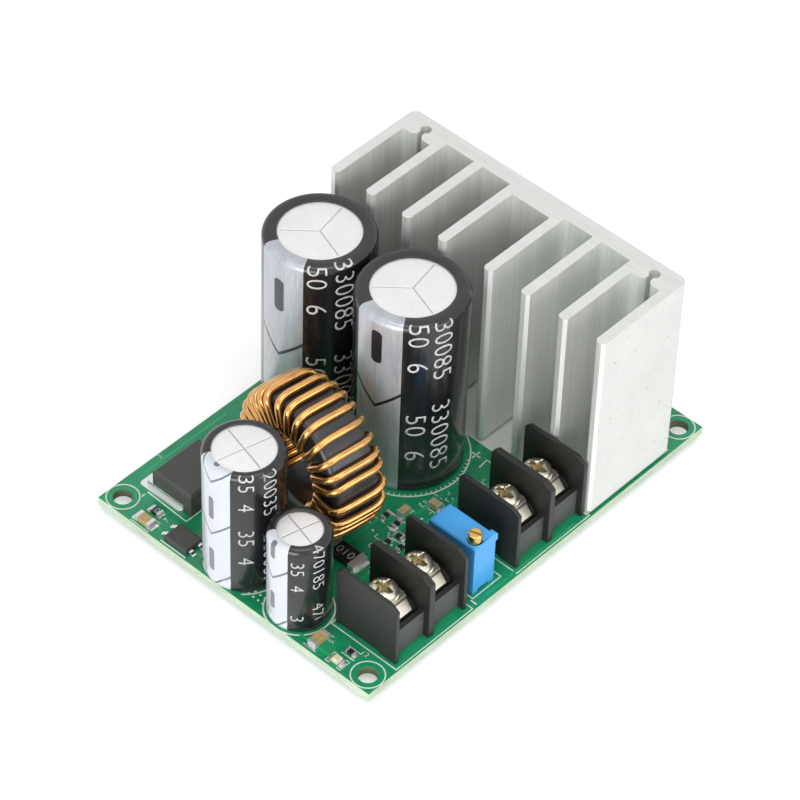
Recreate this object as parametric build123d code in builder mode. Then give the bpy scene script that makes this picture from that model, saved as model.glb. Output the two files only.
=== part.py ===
from build123d import *
import math
import os
from collections import namedtuple

# A step-down converter board: two wire terminals, four electrolytic capacitors, a toroid
# choke and a finned heatsink that cools two power devices.
# Lengths are in millimetres. X runs along the short edge of the board, Y along the long
# edge and Z up. The origin is the middle of the four mounting holes, on the underside.

os.makedirs("parts", exist_ok=True)

# Circuit board; its width and length follow from the layout below
board_thick = 1.6
mount_inset = 2.75
mount_radius = 1.6
lead_clearance = 0.12
solder_height = 1.1
solder_margin = 0.5
solder_sides = 4
hidden_sides = 6
bore_sides = 12

# Heatsink extrusion: fins point to -Y, the flat back faces +Y
fin_count = 8
fin_thick = 1.8
fin_tip_chamfer = 0.5
channel_width = 5.75
centre_channel_width = 7.75
sink_base = 2.75
sink_depth = 19.8
sink_height = 36.5
sink_lift = 0.8
sink_side_gap = 0.275
sink_back_strip = 7.7
sink_corner_radius = 1.4
end_boss_rise = 2.0
centre_boss_rise = 1.5
keyhole_radius = 0.9
keyhole_neck = 0.9
keyhole_from_back = 2.5
keyhole_mouth_chamfer = 0.7

# Pins that stand the heatsink on the board
sink_pin_radius = 0.85
sink_pin_depth = 8.0
sink_collar_radius = 1.7

# Power devices on the flat back of the heatsink, in all-plastic packages
device_width = 10.0
device_height = 15.8
device_thick = 4.6
device_neck_thick = 2.6
device_neck_height = 6.4
device_neck_slope = 0.8
device_lift = 4.0
device_hole_radius = 1.6
device_hole_from_top = 3.3
device_lead_pitch = 2.54
device_lead_width = 0.8
device_lead_thick = 0.5
device_lead_offset = 2.7
device_screw_radius = 1.5
device_screw_length = 5.5
device_screw_head_radius = 2.75
device_screw_head_height = 2.0

# Electrolytic capacitors: two tall ones, a middle one and a small one
tall_radius = 9.1
tall_height = 35.7
tall_lip = 2.4
tall_lead_pitch = 7.5
tall_lead_radius = 0.4
filter_radius = 6.55
filter_height = 25.2
filter_lip = 1.5
small_radius = 5.05
small_height = 17.9
small_lip = 1.45
short_lead_pitch = 5.0
short_lead_radius = 0.3
sleeve_thick = 0.2
sleeve_shoulder = 1.0
can_shoulder = 0.9
can_lift = 0.3
can_sides = 20

# Toroid choke: a ring on edge, its bore nearly along Y
choke_turn = -10.0
core_outer_radius = 12.0
core_bore_radius = 7.0
core_height = 8.4
core_chamfer = 0.9
core_sides = 24
wire_radius = 0.6
wire_gap = 0.08
wire_corner = 1.1
wire_sides = 5
wire_turns = 24
wire_step = 12.0
wire_start = -54.0
choke_lift = 0.3

# Screw terminals
cell_pitch = 7.62
end_wall = 0.7
middle_wall = 1.2
terminal_depth = 12.4
terminal_height = 12.4
terminal_rear_chamfer = 0.9
terminal_front_chamfer = (1.0, 1.6)
block_rear = 2.0
block_front = 11.2
block_height = 6.0
block_front_height = 5.2
block_slope_start = 8.2
tab_slot_front = 10.2
tab_slot_floor = 3.8
side_recess = 0.25
side_recess_height = 5.4
strip_thick = 0.8
strip_width = 4.6
strip_rear = 3.0
strip_drop = 1.5
strip_leg_width = 1.2
strip_leg_clearance = 0.05
plate_thick = 0.7
plate_length = 4.9
plate_width = 5.4
plate_corner = 0.5
screw_from_rear = 5.8
screw_radius = 1.25
screw_length = 5.4
screw_head_radius = 2.35
screw_head_height = 1.7
screw_slot_width = 0.7
screw_slot_depth = 0.7
running_clearance = 0.05
screw_well = 3.4
well_floor = 0.8

# Trimmer resistor with a screw in its top
trimmer_length = 9.5
trimmer_width = 4.8
trimmer_height = 10.0
trimmer_edge = 0.25
trimmer_foot = 0.4
trimmer_foot_size = 1.2
trimmer_cap_height = 1.5
trimmer_lug_length = 1.4
trimmer_lug_width = 0.5
trimmer_screw_radius = 1.1
trimmer_screw_rise = 1.6
trimmer_screw_depth = 2.5
trimmer_screw_inset = 1.5
trimmer_screw_side = 1.65
trimmer_slot_width = 0.5
trimmer_slot_depth = 0.8
trimmer_pin_size = 0.5
trimmer_pin_pitch = 2.54

# Flat power package on the board
package_length = 8.5
package_width = 10.0
package_height = 4.5
package_edge = 0.45
package_tab_length = 1.6
package_tab_thick = 1.3
package_lead_width = 1.1
package_lead_thick = 0.5
package_lead_pitch = 5.08
package_lead_level = 2.3
package_lead_reach = 2.2
package_foot = 2.4

# Small chips with gull-wing leads
chip_standoff = 0.1
chip_edge = 0.2
chip_lead_thick = 0.2
chip_lead_reach = 0.5
chip_foot = 0.6

# Two-ended surface parts: length, width and height
brick_cap_share = 0.2
brick_cap_swell = 0.04
shunt_size = (6.4, 3.2, 0.9)
resistor_0805 = (2.0, 1.25, 0.5)
resistor_0603 = (1.6, 0.8, 0.5)
capacitor_1206 = (3.2, 1.6, 0.9)
capacitor_0805 = (2.0, 1.25, 1.0)
led_size = (2.0, 1.25, 0.5)
led_dome = 0.4
led_dome_taper = 15

# Layout across the board, from its left edge to its right edge
tall_overhang = 0.4
tall_spacing = 0.7
package_from_left = 5.0
flat_chip_from_left = 16.2
filter_from_left = 25.9
small_spacing = 1.1
choke_shift = 1.0
terminal_spacing = 7.8
terminal_small_gap = 0.85
terminal_from_edge = 1.1
trimmer_setback = 1.75

# Layout along the board, from its front edge to the fin tips
filter_overhang = 0.25
small_shift = 1.1
package_from_front = 7.1
choke_front_spacing = 2.77
choke_rear_spacing = 6.72
tall_stagger = 0.7
output_start = 7.0
trimmer_front_spacing = 2.66
trimmer_rear_spacing = 3.85
fin_spacing = 0.2

# Board width and length, as large as that layout needs
behind_tall = 4 * tall_radius - tall_overhang + tall_spacing + terminal_spacing
behind_small = filter_from_left + filter_radius + small_spacing + 2 * small_radius + terminal_small_gap
rear_from_left = max(behind_tall, behind_small)
board_width = rear_from_left + terminal_depth + terminal_from_edge
terminal_length = 2 * cell_pitch + end_wall
wire_half_width = core_height / 2 + wire_radius + wire_gap
filter_from_front = filter_radius - filter_overhang
choke_from_front = filter_from_front + filter_radius + choke_front_spacing + wire_half_width
tall_from_front = choke_from_front + wire_half_width + choke_rear_spacing + tall_radius
trimmer_from_front = output_start + terminal_length + trimmer_front_spacing
input_start = trimmer_from_front + trimmer_width + trimmer_rear_spacing
fins_from_front = max(tall_from_front + tall_radius, input_start + terminal_length) + fin_spacing
board_length = fins_from_front + sink_depth + sink_back_strip

left = -board_width / 2
right = board_width / 2
front = -board_length / 2
back = board_length / 2
top = board_thick

# Places of the large parts
tall_y = front + tall_from_front
input_can_x = left + tall_radius - tall_overhang
output_can_x = input_can_x + 2 * tall_radius + tall_spacing
filter_x = left + filter_from_left
filter_y = front + filter_from_front
small_x = filter_x + filter_radius + small_radius + small_spacing
choke_x = output_can_x - choke_shift
choke_y = front + choke_from_front
terminal_rear = left + rear_from_left
trimmer_x = terminal_rear + trimmer_setback
trimmer_y = front + trimmer_from_front
package_x = left + package_from_left
package_y = front + package_from_front

Capacitor = namedtuple("Capacitor", "name x y radius height lip lead_pitch lead_radius")
tall = (tall_radius, tall_height, tall_lip, tall_lead_pitch, tall_lead_radius)
capacitors = [
    Capacitor("input_capacitor", input_can_x, tall_y - tall_stagger, *tall),
    Capacitor("output_capacitor", output_can_x, tall_y, *tall),
    Capacitor(
        "filter_capacitor", filter_x, filter_y,
        filter_radius, filter_height, filter_lip, short_lead_pitch, short_lead_radius,
    ),
    Capacitor(
        "small_capacitor", small_x, filter_y - small_shift,
        small_radius, small_height, small_lip, short_lead_pitch, short_lead_radius,
    ),
]

Terminal = namedtuple("Terminal", "name start_y")
terminals = [
    Terminal("output", front + output_start),
    Terminal("input", front + input_start),
]

Chip = namedtuple("Chip", "name x y length width height lead_count lead_pitch lead_width")
chips = [
    Chip("flat_chip", left + flat_chip_from_left, front + 2.65, 4.9, 3.8, 1.0, 2, 1.95, 0.8),
    Chip("control_chip", input_can_x + 4.5, choke_y + 6.9, 3.9, 4.9, 1.5, 4, 1.27, 0.4),
]

# Places of the surface parts: the middle, and whether the length is turned along Y
Brick = namedtuple("Brick", "x y turned")
shunt_place = Brick(choke_x + 9.6, choke_y - 2.6, False)
large_resistor_places = [Brick(left + 8.8, front + 4.1, False)]
large_ceramic_places = [
    Brick(left + 9.0, front + 1.5, False),
    Brick(terminal_rear + 0.7, front + 2.6, True),
]
small_ceramic_places = [
    Brick(trimmer_x - 7.05, trimmer_y + 9.7, False),
    Brick(trimmer_x - 9.65, trimmer_y + 5.2, True),
]
small_resistor_places = [
    Brick(terminal_rear + 6.0, front + 4.1, False),
    Brick(trimmer_x - 6.75, trimmer_y + 1.0, False),
    Brick(trimmer_x - 4.65, trimmer_y + 3.0, False),
    Brick(trimmer_x - 7.25, trimmer_y - 1.2, True),
    Brick(trimmer_x - 4.95, trimmer_y - 0.6, True),
    Brick(trimmer_x - 11.25, trimmer_y + 2.8, True),
    Brick(trimmer_x - 8.85, trimmer_y + 2.6, True),
]
led_place = Brick(terminal_rear + 5.6, front + 1.5, False)

# Sizes that follow from the ones above
sink_width = fin_count * fin_thick + (fin_count - 2) * channel_width + centre_channel_width
sink_left = right - sink_side_gap - sink_width
sink_centre = sink_left + sink_width / 2
sink_back = back - sink_back_strip
sink_bottom = top + sink_lift
centre_channel = (fin_count - 1) // 2
channel_widths = [channel_width] * (fin_count - 1)
channel_widths[centre_channel] = centre_channel_width
fin_starts = [sink_left + i * fin_thick + sum(channel_widths[:i]) for i in range(fin_count)]
channel_centres = [fin_starts[i] + fin_thick + channel_widths[i] / 2 for i in range(fin_count - 1)]
keyhole_centres = [channel_centres[0], channel_centres[-1]]
keyhole_y = sink_back - keyhole_from_back
device_centres = [channel_centres[centre_channel], channel_centres[centre_channel + 2]]
device_bottom = top + device_lift
device_screw_z = device_bottom + device_height - device_hole_from_top
device_lead_y = sink_back + device_lead_offset
wire_ring_radius = core_outer_radius + wire_radius + wire_gap
wire_bore_radius = core_bore_radius - wire_radius - wire_gap
choke_z = top + choke_lift + wire_ring_radius + wire_radius
choke_axis = Vector(0, 1, 0).rotate(Axis.Z, choke_turn)
choke_across = choke_axis.cross(Vector(0, 0, 1))
choke_plane = Plane(origin=(choke_x, choke_y, choke_z), x_dir=choke_across, z_dir=choke_axis)
screw_x = terminal_rear + screw_from_rear
strip_top = top + block_height + strip_thick
head_bottom = strip_top + plate_thick
trimmer_screw_x = trimmer_x + trimmer_length - trimmer_screw_inset
trimmer_screw_y = trimmer_y + trimmer_screw_side
trimmer_pin_y = trimmer_y + trimmer_width / 2
trimmer_pins = [trimmer_x + trimmer_length / 2 + i * trimmer_pin_pitch for i in (-1, 0, 1)]


def save(piece, name):
    piece.part.label = name
    export_step(piece.part, f"parts/{name}.step")


def side_plane(x, y, z):
    """A plane whose x is the board's X and whose y is Z."""
    return Plane(origin=(x, y, z), x_dir=(1, 0, 0), z_dir=(0, -1, 0))


def capacitor_leads(cap):
    return [(cap.x, cap.y - cap.lead_pitch / 2), (cap.x, cap.y + cap.lead_pitch / 2)]


def cell_centres(terminal):
    middle = terminal.start_y + terminal_length / 2
    return [middle - cell_pitch / 2, middle + cell_pitch / 2]


def winding_point(radius, height, degrees):
    """A point of the choke: radius from its axis, height along it, angle up from +X."""
    angle = math.radians(degrees)
    return choke_plane.from_local_coords((radius * math.cos(angle), -radius * math.sin(angle), height))


def winding_route():
    """The middle line of the wire, from one board hole round every turn to the other."""
    loop = [
        (wire_ring_radius, wire_corner - wire_half_width),
        (wire_ring_radius, wire_half_width - wire_corner),
        (wire_ring_radius - wire_corner, wire_half_width),
        (wire_bore_radius, wire_half_width),
        (wire_bore_radius, -wire_half_width),
        (wire_ring_radius - wire_corner, -wire_half_width),
    ]
    steps = [i / len(loop) for i in range(wire_turns * len(loop) + 2)]
    route = [winding_point(*loop[i % len(loop)], wire_start + wire_step * t) for i, t in enumerate(steps)]
    first, last = route[0], route[-1]
    return [Vector(first.X, first.Y, 0)] + route + [Vector(last.X, last.Y, 0)]


wire_route = winding_route()
wire_holes = [(wire_route[0].X, wire_route[0].Y), (wire_route[-1].X, wire_route[-1].Y)]
round_leads = [(x, y, cap.lead_radius) for cap in capacitors for x, y in capacitor_leads(cap)]
round_leads += [(x, keyhole_y, sink_pin_radius) for x in keyhole_centres]
round_leads += [(x, y, wire_radius) for x, y in wire_holes]
device_leads = [(x + i * device_lead_pitch, device_lead_y) for x in device_centres for i in (-1, 0, 1)]
strip_legs = [(terminal_rear + strip_rear + strip_thick / 2, y) for t in terminals for y in cell_centres(t)]
flat_leads = [(x, y, device_lead_width, device_lead_thick) for x, y in device_leads]
flat_leads += [(x, y, strip_thick, strip_leg_width) for x, y in strip_legs]
flat_leads += [(x, trimmer_pin_y, trimmer_pin_size, trimmer_pin_size) for x in trimmer_pins]


def make_board():
    with BuildPart() as board:
        with BuildSketch():
            Rectangle(board_width, board_length)
            with GridLocations(board_width - 2 * mount_inset, board_length - 2 * mount_inset, 2, 2):
                Circle(mount_radius, mode=Mode.SUBTRACT)
            for x, y, radius in round_leads:
                with Locations((x, y)):
                    hole_radius = radius + lead_clearance
                    RegularPolygon(hole_radius, hidden_sides, major_radius=False, mode=Mode.SUBTRACT)
            for x, y, wide, deep in flat_leads:
                with Locations((x, y)):
                    Rectangle(wide + 2 * lead_clearance, deep + 2 * lead_clearance, mode=Mode.SUBTRACT)
        extrude(amount=board_thick)
    save(board, "circuit_board")


def make_solder():
    """A bead of solder under each lead."""
    places = [(x, y, radius) for x, y, radius in round_leads]
    places += [(x, y, max(wide, deep) / 2) for x, y, wide, deep in flat_leads]
    with BuildPart() as solder:
        with BuildSketch():
            for x, y, radius in places:
                with Locations((x, y)):
                    RegularPolygon(radius + lead_clearance + solder_margin, solder_sides)
        extrude(amount=-solder_height)
    save(solder, "solder_joints")


def make_heatsink():
    with BuildPart() as sink:
        with BuildSketch(Plane.XY.offset(sink_bottom)):
            with Locations((sink_centre, sink_back)):
                Rectangle(sink_width, sink_base, align=(Align.CENTER, Align.MAX))
            for x in fin_starts:
                with Locations((x, sink_back)):
                    Rectangle(fin_thick, sink_depth, align=(Align.MIN, Align.MAX))
            for x in keyhole_centres:
                with Locations((x, sink_back)):
                    Rectangle(channel_width, sink_base + end_boss_rise, align=(Align.CENTER, Align.MAX))
            with Locations((channel_centres[centre_channel], sink_back)):
                boss_depth = sink_base + centre_boss_rise
                Rectangle(centre_channel_width, boss_depth, align=(Align.CENTER, Align.MAX))
            chamfer(vertices().group_by(Axis.Y)[0], fin_tip_chamfer)
            fillet(vertices().group_by(Axis.Y)[-1], sink_corner_radius)
            mouth_y = sink_back - sink_base - end_boss_rise
            for x in keyhole_centres:
                with Locations((x, keyhole_y)):
                    RegularPolygon(keyhole_radius, bore_sides, major_radius=False, mode=Mode.SUBTRACT)
                    Rectangle(
                        keyhole_neck,
                        keyhole_y - mouth_y + keyhole_mouth_chamfer,
                        align=(Align.CENTER, Align.MAX),
                        mode=Mode.SUBTRACT,
                    )
                mouths = [v for v in vertices() if abs(v.Y - mouth_y) < 0.01]
                beside = [v for v in mouths if abs(abs(v.X - x) - keyhole_neck / 2) < 0.01]
                chamfer(beside, keyhole_mouth_chamfer)
        extrude(amount=sink_height)
        for x in device_centres:
            with BuildSketch(Plane(origin=(x, sink_back, device_screw_z), z_dir=(0, 1, 0))):
                RegularPolygon(device_screw_radius, hidden_sides, major_radius=False)
            extrude(amount=-sink_base - centre_boss_rise, mode=Mode.SUBTRACT)
    save(sink, "heatsink")


def make_heatsink_pins():
    with BuildPart() as pins:
        for x in keyhole_centres:
            with BuildSketch(Plane((x, keyhole_y, 0))):
                RegularPolygon(sink_pin_radius, hidden_sides)
            extrude(amount=sink_bottom + sink_pin_depth)
            with BuildSketch(Plane((x, keyhole_y, top))):
                RegularPolygon(sink_collar_radius, hidden_sides)
            extrude(amount=sink_lift)
    save(pins, "heatsink_pins")


def make_device(name, x):
    with BuildPart() as body:
        with BuildSketch(Plane(origin=(x, sink_back, device_bottom), x_dir=(0, 1, 0), z_dir=(1, 0, 0))):
            with BuildLine():
                Polyline(
                    (0, 0),
                    (device_thick, 0),
                    (device_thick, device_height - device_neck_height - device_neck_slope),
                    (device_neck_thick, device_height - device_neck_height),
                    (device_neck_thick, device_height),
                    (0, device_height),
                    close=True,
                )
            make_face()
        extrude(amount=device_width / 2, both=True)
        with BuildSketch(Plane(origin=(x, sink_back, device_screw_z), z_dir=(0, 1, 0))):
            RegularPolygon(device_hole_radius, hidden_sides, major_radius=False)
        extrude(amount=device_neck_thick, mode=Mode.SUBTRACT)
    save(body, f"{name}_body")
    with BuildPart() as leads:
        with BuildSketch():
            with Locations((x, device_lead_y)):
                with GridLocations(device_lead_pitch, 0, 3, 1):
                    Rectangle(device_lead_width, device_lead_thick)
        extrude(amount=device_bottom)
    save(leads, f"{name}_leads")


def make_device_screws():
    with BuildPart() as screws:
        for x in device_centres:
            seat = Plane(origin=(x, sink_back + device_neck_thick, device_screw_z), z_dir=(0, 1, 0))
            with BuildSketch(seat):
                RegularPolygon(device_screw_radius - running_clearance, hidden_sides)
            extrude(amount=-device_screw_length)
            with BuildSketch(seat):
                RegularPolygon(device_screw_head_radius, 6, major_radius=False)
            extrude(amount=device_screw_head_height)
    save(screws, "device_screws")


def make_capacitor(cap):
    """The can and its round sleeve meet on flats, which no one sees."""
    can_radius = cap.radius - sleeve_thick
    can_bottom = top + can_lift
    can_top = top + cap.height - sleeve_thick
    with BuildPart() as can:
        with BuildSketch(Plane((cap.x, cap.y, can_bottom))):
            RegularPolygon(can_radius, can_sides)
        extrude(amount=can_top - can_bottom)
        chamfer(edges().group_by(Axis.Z)[-1], can_shoulder)
    save(can, f"{cap.name}_can")

    with BuildPart() as sleeve:
        with BuildSketch(Plane((cap.x, cap.y, top))):
            Circle(cap.radius)
        extrude(amount=cap.height)
        chamfer(edges().group_by(Axis.Z)[-1], sleeve_shoulder)
        with BuildSketch(Plane((cap.x, cap.y, top))):
            RegularPolygon(can_radius, can_sides)
        extrude(amount=can_lift, mode=Mode.SUBTRACT)
        add(can.part, mode=Mode.SUBTRACT)
        with BuildSketch(Plane((cap.x, cap.y, can_top))):
            RegularPolygon(cap.radius - cap.lip, can_sides)
        extrude(amount=sleeve_thick, mode=Mode.SUBTRACT)
    save(sleeve, f"{cap.name}_sleeve")

    with BuildPart() as leads:
        with BuildSketch():
            with Locations(*capacitor_leads(cap)):
                RegularPolygon(cap.lead_radius, hidden_sides)
        extrude(amount=can_bottom)
    save(leads, f"{cap.name}_leads")


def make_choke():
    with BuildPart() as core:
        with BuildSketch(choke_plane):
            RegularPolygon(core_outer_radius, core_sides)
        extrude(amount=core_height / 2, both=True)
        sides = faces().sort_by(Axis(choke_plane.origin, choke_plane.z_dir))
        chamfer(sides[0].edges() + sides[-1].edges(), core_chamfer)
        with BuildSketch(choke_plane):
            RegularPolygon(core_bore_radius, core_sides, major_radius=False)
        extrude(amount=core_height / 2, both=True, mode=Mode.SUBTRACT)
    save(core, "choke_core")

    with BuildPart() as winding:
        with BuildLine():
            Polyline(*wire_route)
        with BuildSketch(Plane((wire_route[0].X, wire_route[0].Y, 0))):
            RegularPolygon(wire_radius, wire_sides)
        sweep(transition=Transition.RIGHT)
    save(winding, "choke_winding")


def wall_profile():
    """The tall side of a terminal: a slab with its two upper corners cut off."""
    Rectangle(terminal_depth, terminal_height, align=Align.MIN)
    chamfer(vertices().sort_by(Axis.Y)[2:].sort_by(Axis.X)[0], terminal_rear_chamfer)
    chamfer(vertices().group_by(Axis.Y)[-1].sort_by(Axis.X)[-1], *terminal_front_chamfer)


def make_terminal_housing(terminal):
    middle = terminal.start_y + terminal_length / 2
    seat = side_plane(terminal_rear, middle, top)
    half = terminal_length / 2
    with BuildPart() as housing:
        with BuildSketch(seat):
            wall_profile()
        extrude(amount=middle_wall / 2, both=True)
        for offset in (half - end_wall, -half):
            with BuildSketch(seat.offset(offset)):
                wall_profile()
            extrude(amount=end_wall)
        with BuildSketch(seat):
            with BuildLine():
                Polyline(
                    (block_rear, 0),
                    (block_rear, block_height),
                    (block_slope_start, block_height),
                    (block_slope_start + strip_drop, block_height - strip_drop),
                    (block_slope_start + strip_drop, tab_slot_floor),
                    (tab_slot_front, tab_slot_floor),
                    (tab_slot_front, block_front_height),
                    (block_front, block_front_height),
                    (block_front, 0),
                    close=True,
                )
            make_face()
        extrude(amount=half - end_wall, both=True)
        for y in cell_centres(terminal):
            with BuildSketch(Plane((screw_x, y, top + block_height))):
                Rectangle(screw_well, screw_well)
            extrude(amount=well_floor - block_height, mode=Mode.SUBTRACT)
            with BuildSketch(Plane((terminal_rear + strip_rear + strip_thick / 2, y, top))):
                gap = 2 * strip_leg_clearance
                Rectangle(strip_thick + gap, strip_leg_width + gap)
            extrude(amount=block_height, mode=Mode.SUBTRACT)
        with BuildSketch(seat.offset(half)):
            with Locations((end_wall, 0)):
                Rectangle(block_slope_start, side_recess_height, align=Align.MIN)
        extrude(amount=-side_recess, mode=Mode.SUBTRACT)
    save(housing, f"{terminal.name}_terminal_housing")


def make_terminal_strips(terminal):
    """The contact of each cell: flat under the screw, folded down in front and behind."""
    with BuildPart() as strips:
        for y in cell_centres(terminal):
            with BuildSketch(side_plane(terminal_rear, y, top)):
                with BuildLine():
                    Polyline(
                        (strip_rear, block_height),
                        (block_slope_start, block_height),
                        (block_slope_start + strip_drop, block_height - strip_drop),
                        (block_slope_start + strip_drop, block_height - strip_drop + strip_thick),
                        (block_slope_start + strip_thick / 3, block_height + strip_thick),
                        (strip_rear, block_height + strip_thick),
                        close=True,
                    )
                make_face()
            extrude(amount=strip_width / 2, both=True)
            with BuildSketch(Plane((terminal_rear + strip_rear + strip_thick / 2, y, 0))):
                Rectangle(strip_thick, strip_leg_width)
            extrude(amount=top + block_height)
            with BuildSketch(Plane((screw_x, y, strip_top))):
                RegularPolygon(screw_radius + running_clearance, hidden_sides, major_radius=False)
            extrude(amount=-strip_thick, mode=Mode.SUBTRACT)
    save(strips, f"{terminal.name}_terminal_contacts")


def make_terminal_screw(name, y):
    with BuildPart() as plate:
        with BuildSketch(Plane((screw_x, y, strip_top))):
            Rectangle(plate_length, plate_width)
            chamfer(vertices(), plate_corner)
            hole_radius = screw_radius + running_clearance
            RegularPolygon(hole_radius, hidden_sides, major_radius=False, mode=Mode.SUBTRACT)
        extrude(amount=plate_thick)
    save(plate, f"{name}_clamp_plate")

    head_top = head_bottom + screw_head_height
    with BuildPart() as screw:
        with BuildSketch(Plane((screw_x, y, head_bottom))):
            RegularPolygon(screw_radius, hidden_sides)
        extrude(amount=-screw_length)
        with BuildSketch(Plane((screw_x, y, head_bottom))):
            Circle(screw_head_radius)
        extrude(amount=screw_head_height)
        with BuildSketch(Plane((screw_x, y, head_top))):
            Rectangle(screw_slot_width, 2 * screw_head_radius)
        extrude(amount=-screw_slot_depth, mode=Mode.SUBTRACT)
    save(screw, f"{name}_screw")


def make_terminal(terminal):
    make_terminal_housing(terminal)
    make_terminal_strips(terminal)
    for pole, y in zip(("negative", "positive"), cell_centres(terminal)):
        make_terminal_screw(f"{terminal.name}_{pole}", y)


def make_trimmer():
    middle_x = trimmer_x + trimmer_length / 2
    middle_y = trimmer_y + trimmer_width / 2
    cover_top = top + trimmer_height
    with BuildPart() as body:
        with BuildSketch(Plane((middle_x, middle_y, top + trimmer_foot))):
            Rectangle(trimmer_length, trimmer_width)
        extrude(amount=trimmer_height - trimmer_foot)
        with BuildSketch(Plane((middle_x, middle_y, top))):
            with GridLocations(trimmer_length - trimmer_foot_size, trimmer_width - trimmer_foot_size, 2, 2):
                Rectangle(trimmer_foot_size, trimmer_foot_size)
        extrude(amount=trimmer_foot)
        with BuildSketch(Plane((trimmer_x + trimmer_length, trimmer_y + trimmer_width, cover_top))):
            Rectangle(trimmer_lug_length, 2 * trimmer_lug_width, align=(Align.MAX, Align.CENTER))
        extrude(amount=-trimmer_cap_height)
        chamfer(edges().group_by(Axis.Z)[-1], trimmer_edge)
        with BuildSketch(Plane((trimmer_screw_x, trimmer_screw_y, cover_top))):
            RegularPolygon(trimmer_screw_radius + running_clearance, bore_sides, major_radius=False)
        extrude(amount=-trimmer_screw_depth, mode=Mode.SUBTRACT)
    save(body, "trimmer_body")

    screw_top = cover_top + trimmer_screw_rise
    with BuildPart() as screw:
        with BuildSketch(Plane((trimmer_screw_x, trimmer_screw_y, screw_top))):
            Circle(trimmer_screw_radius)
        extrude(amount=-trimmer_screw_rise - trimmer_screw_depth + running_clearance)
        with BuildSketch(Plane((trimmer_screw_x, trimmer_screw_y, screw_top))):
            Rectangle(trimmer_slot_width, 2 * trimmer_screw_radius, rotation=45)
        extrude(amount=-trimmer_slot_depth, mode=Mode.SUBTRACT)
    save(screw, "trimmer_screw")

    with BuildPart() as pins:
        with BuildSketch():
            with Locations(*[(x, trimmer_pin_y) for x in trimmer_pins]):
                Rectangle(trimmer_pin_size, trimmer_pin_size)
        extrude(amount=top + trimmer_foot)
    save(pins, "trimmer_pins")


def lead_outline(reach, level, thick, foot):
    """A flat lead seen from the side: out of the body, down, and a foot on the board."""
    return [
        (0, level),
        (reach, level),
        (reach + thick, thick),
        (reach + foot, thick),
        (reach + foot, 0),
        (reach, 0),
        (reach - thick, level - thick),
        (0, level - thick),
    ]


def make_power_package():
    middle_x = package_x + package_length / 2
    middle_y = package_y + package_width / 2
    with BuildPart() as tab:
        with BuildSketch(Plane((package_x - package_tab_length, middle_y, top))):
            Rectangle(package_tab_length + package_length, package_width, align=(Align.MIN, Align.CENTER))
            chamfer(vertices().group_by(Axis.X)[0], package_edge)
        extrude(amount=package_tab_thick)
        with BuildSketch(Plane((package_x + package_length, middle_y, top))):
            Rectangle(package_edge * 4, package_width, align=(Align.MAX, Align.CENTER))
        extrude(amount=package_tab_thick, mode=Mode.SUBTRACT)
    with BuildPart() as body:
        with BuildSketch(Plane((middle_x, middle_y, top))):
            Rectangle(package_length, package_width)
        extrude(amount=package_height)
        chamfer(edges().group_by(Axis.Z)[-1], package_edge)
        add(tab.part, mode=Mode.SUBTRACT)
    save(body, "power_package_body")
    outline = lead_outline(package_lead_reach, package_lead_level, package_lead_thick, package_foot)
    with BuildPart() as frame:
        add(tab.part)
        for y in (middle_y - package_lead_pitch / 2, middle_y + package_lead_pitch / 2):
            with BuildSketch(side_plane(package_x + package_length, y, top)):
                with BuildLine():
                    Polyline(*outline, close=True)
                make_face()
            extrude(amount=package_lead_width / 2, both=True)
    save(frame, "power_package_tab_and_leads")


def make_chip(chip):
    with BuildPart() as body:
        with BuildSketch(Plane((chip.x, chip.y, top + chip_standoff))):
            Rectangle(chip.length, chip.width)
        extrude(amount=chip.height - chip_standoff)
        chamfer(edges().group_by(Axis.Z)[-1], chip_edge)
    save(body, f"{chip.name}_body")
    level = (chip.height + chip_lead_thick) / 2
    outline = lead_outline(chip_lead_reach, level, chip_lead_thick, chip_foot)
    with BuildPart() as leads:
        for i in range(chip.lead_count):
            y = chip.y + (i - (chip.lead_count - 1) / 2) * chip.lead_pitch
            with BuildSketch(side_plane(chip.x + chip.length / 2, y, top)):
                with BuildLine():
                    Polyline(*outline, close=True)
                make_face()
            extrude(amount=chip.lead_width / 2, both=True)
        mirror(about=Plane.YZ.offset(chip.x))
    save(leads, f"{chip.name}_leads")


def make_bricks(name, places, size, dome=0):
    """Ceramic blocks, each with a slightly thicker plated cap on both ends."""
    long, wide, tall = size
    cap = brick_cap_share * long
    swell = 2 * brick_cap_swell
    with BuildPart() as bricks:
        for place in places:
            seat = Plane((place.x, place.y, top)).rotated((0, 0, 90 if place.turned else 0))
            with BuildSketch(seat):
                Rectangle(long, wide)
            extrude(amount=tall)
            with BuildSketch(seat):
                with Locations(((cap - long) / 2, 0), ((long - cap) / 2, 0)):
                    Rectangle(cap, wide + swell)
            extrude(amount=tall + brick_cap_swell)
            if dome:
                with BuildSketch(seat.offset(tall)):
                    Rectangle(long - 2 * cap, wide)
                extrude(amount=dome, taper=led_dome_taper)
    save(bricks, name)


make_board()
make_solder()
make_heatsink()
make_heatsink_pins()
for device_name, device_x in zip(("switch_transistor", "rectifier_diode"), device_centres):
    make_device(device_name, device_x)
make_device_screws()
for cap in capacitors:
    make_capacitor(cap)
make_choke()
for terminal in terminals:
    make_terminal(terminal)
make_trimmer()
make_power_package()
for chip in chips:
    make_chip(chip)
make_bricks("shunt_resistor", [shunt_place], shunt_size)
make_bricks("large_chip_resistor", large_resistor_places, resistor_0805)
make_bricks("chip_resistors", small_resistor_places, resistor_0603)
make_bricks("large_ceramic_capacitors", large_ceramic_places, capacitor_1206)
make_bricks("small_ceramic_capacitors", small_ceramic_places, capacitor_0805)
make_bricks("indicator_led", [led_place], led_size, led_dome)
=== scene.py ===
import math

import bmesh
import bpy
from mathutils import Matrix, Vector


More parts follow.
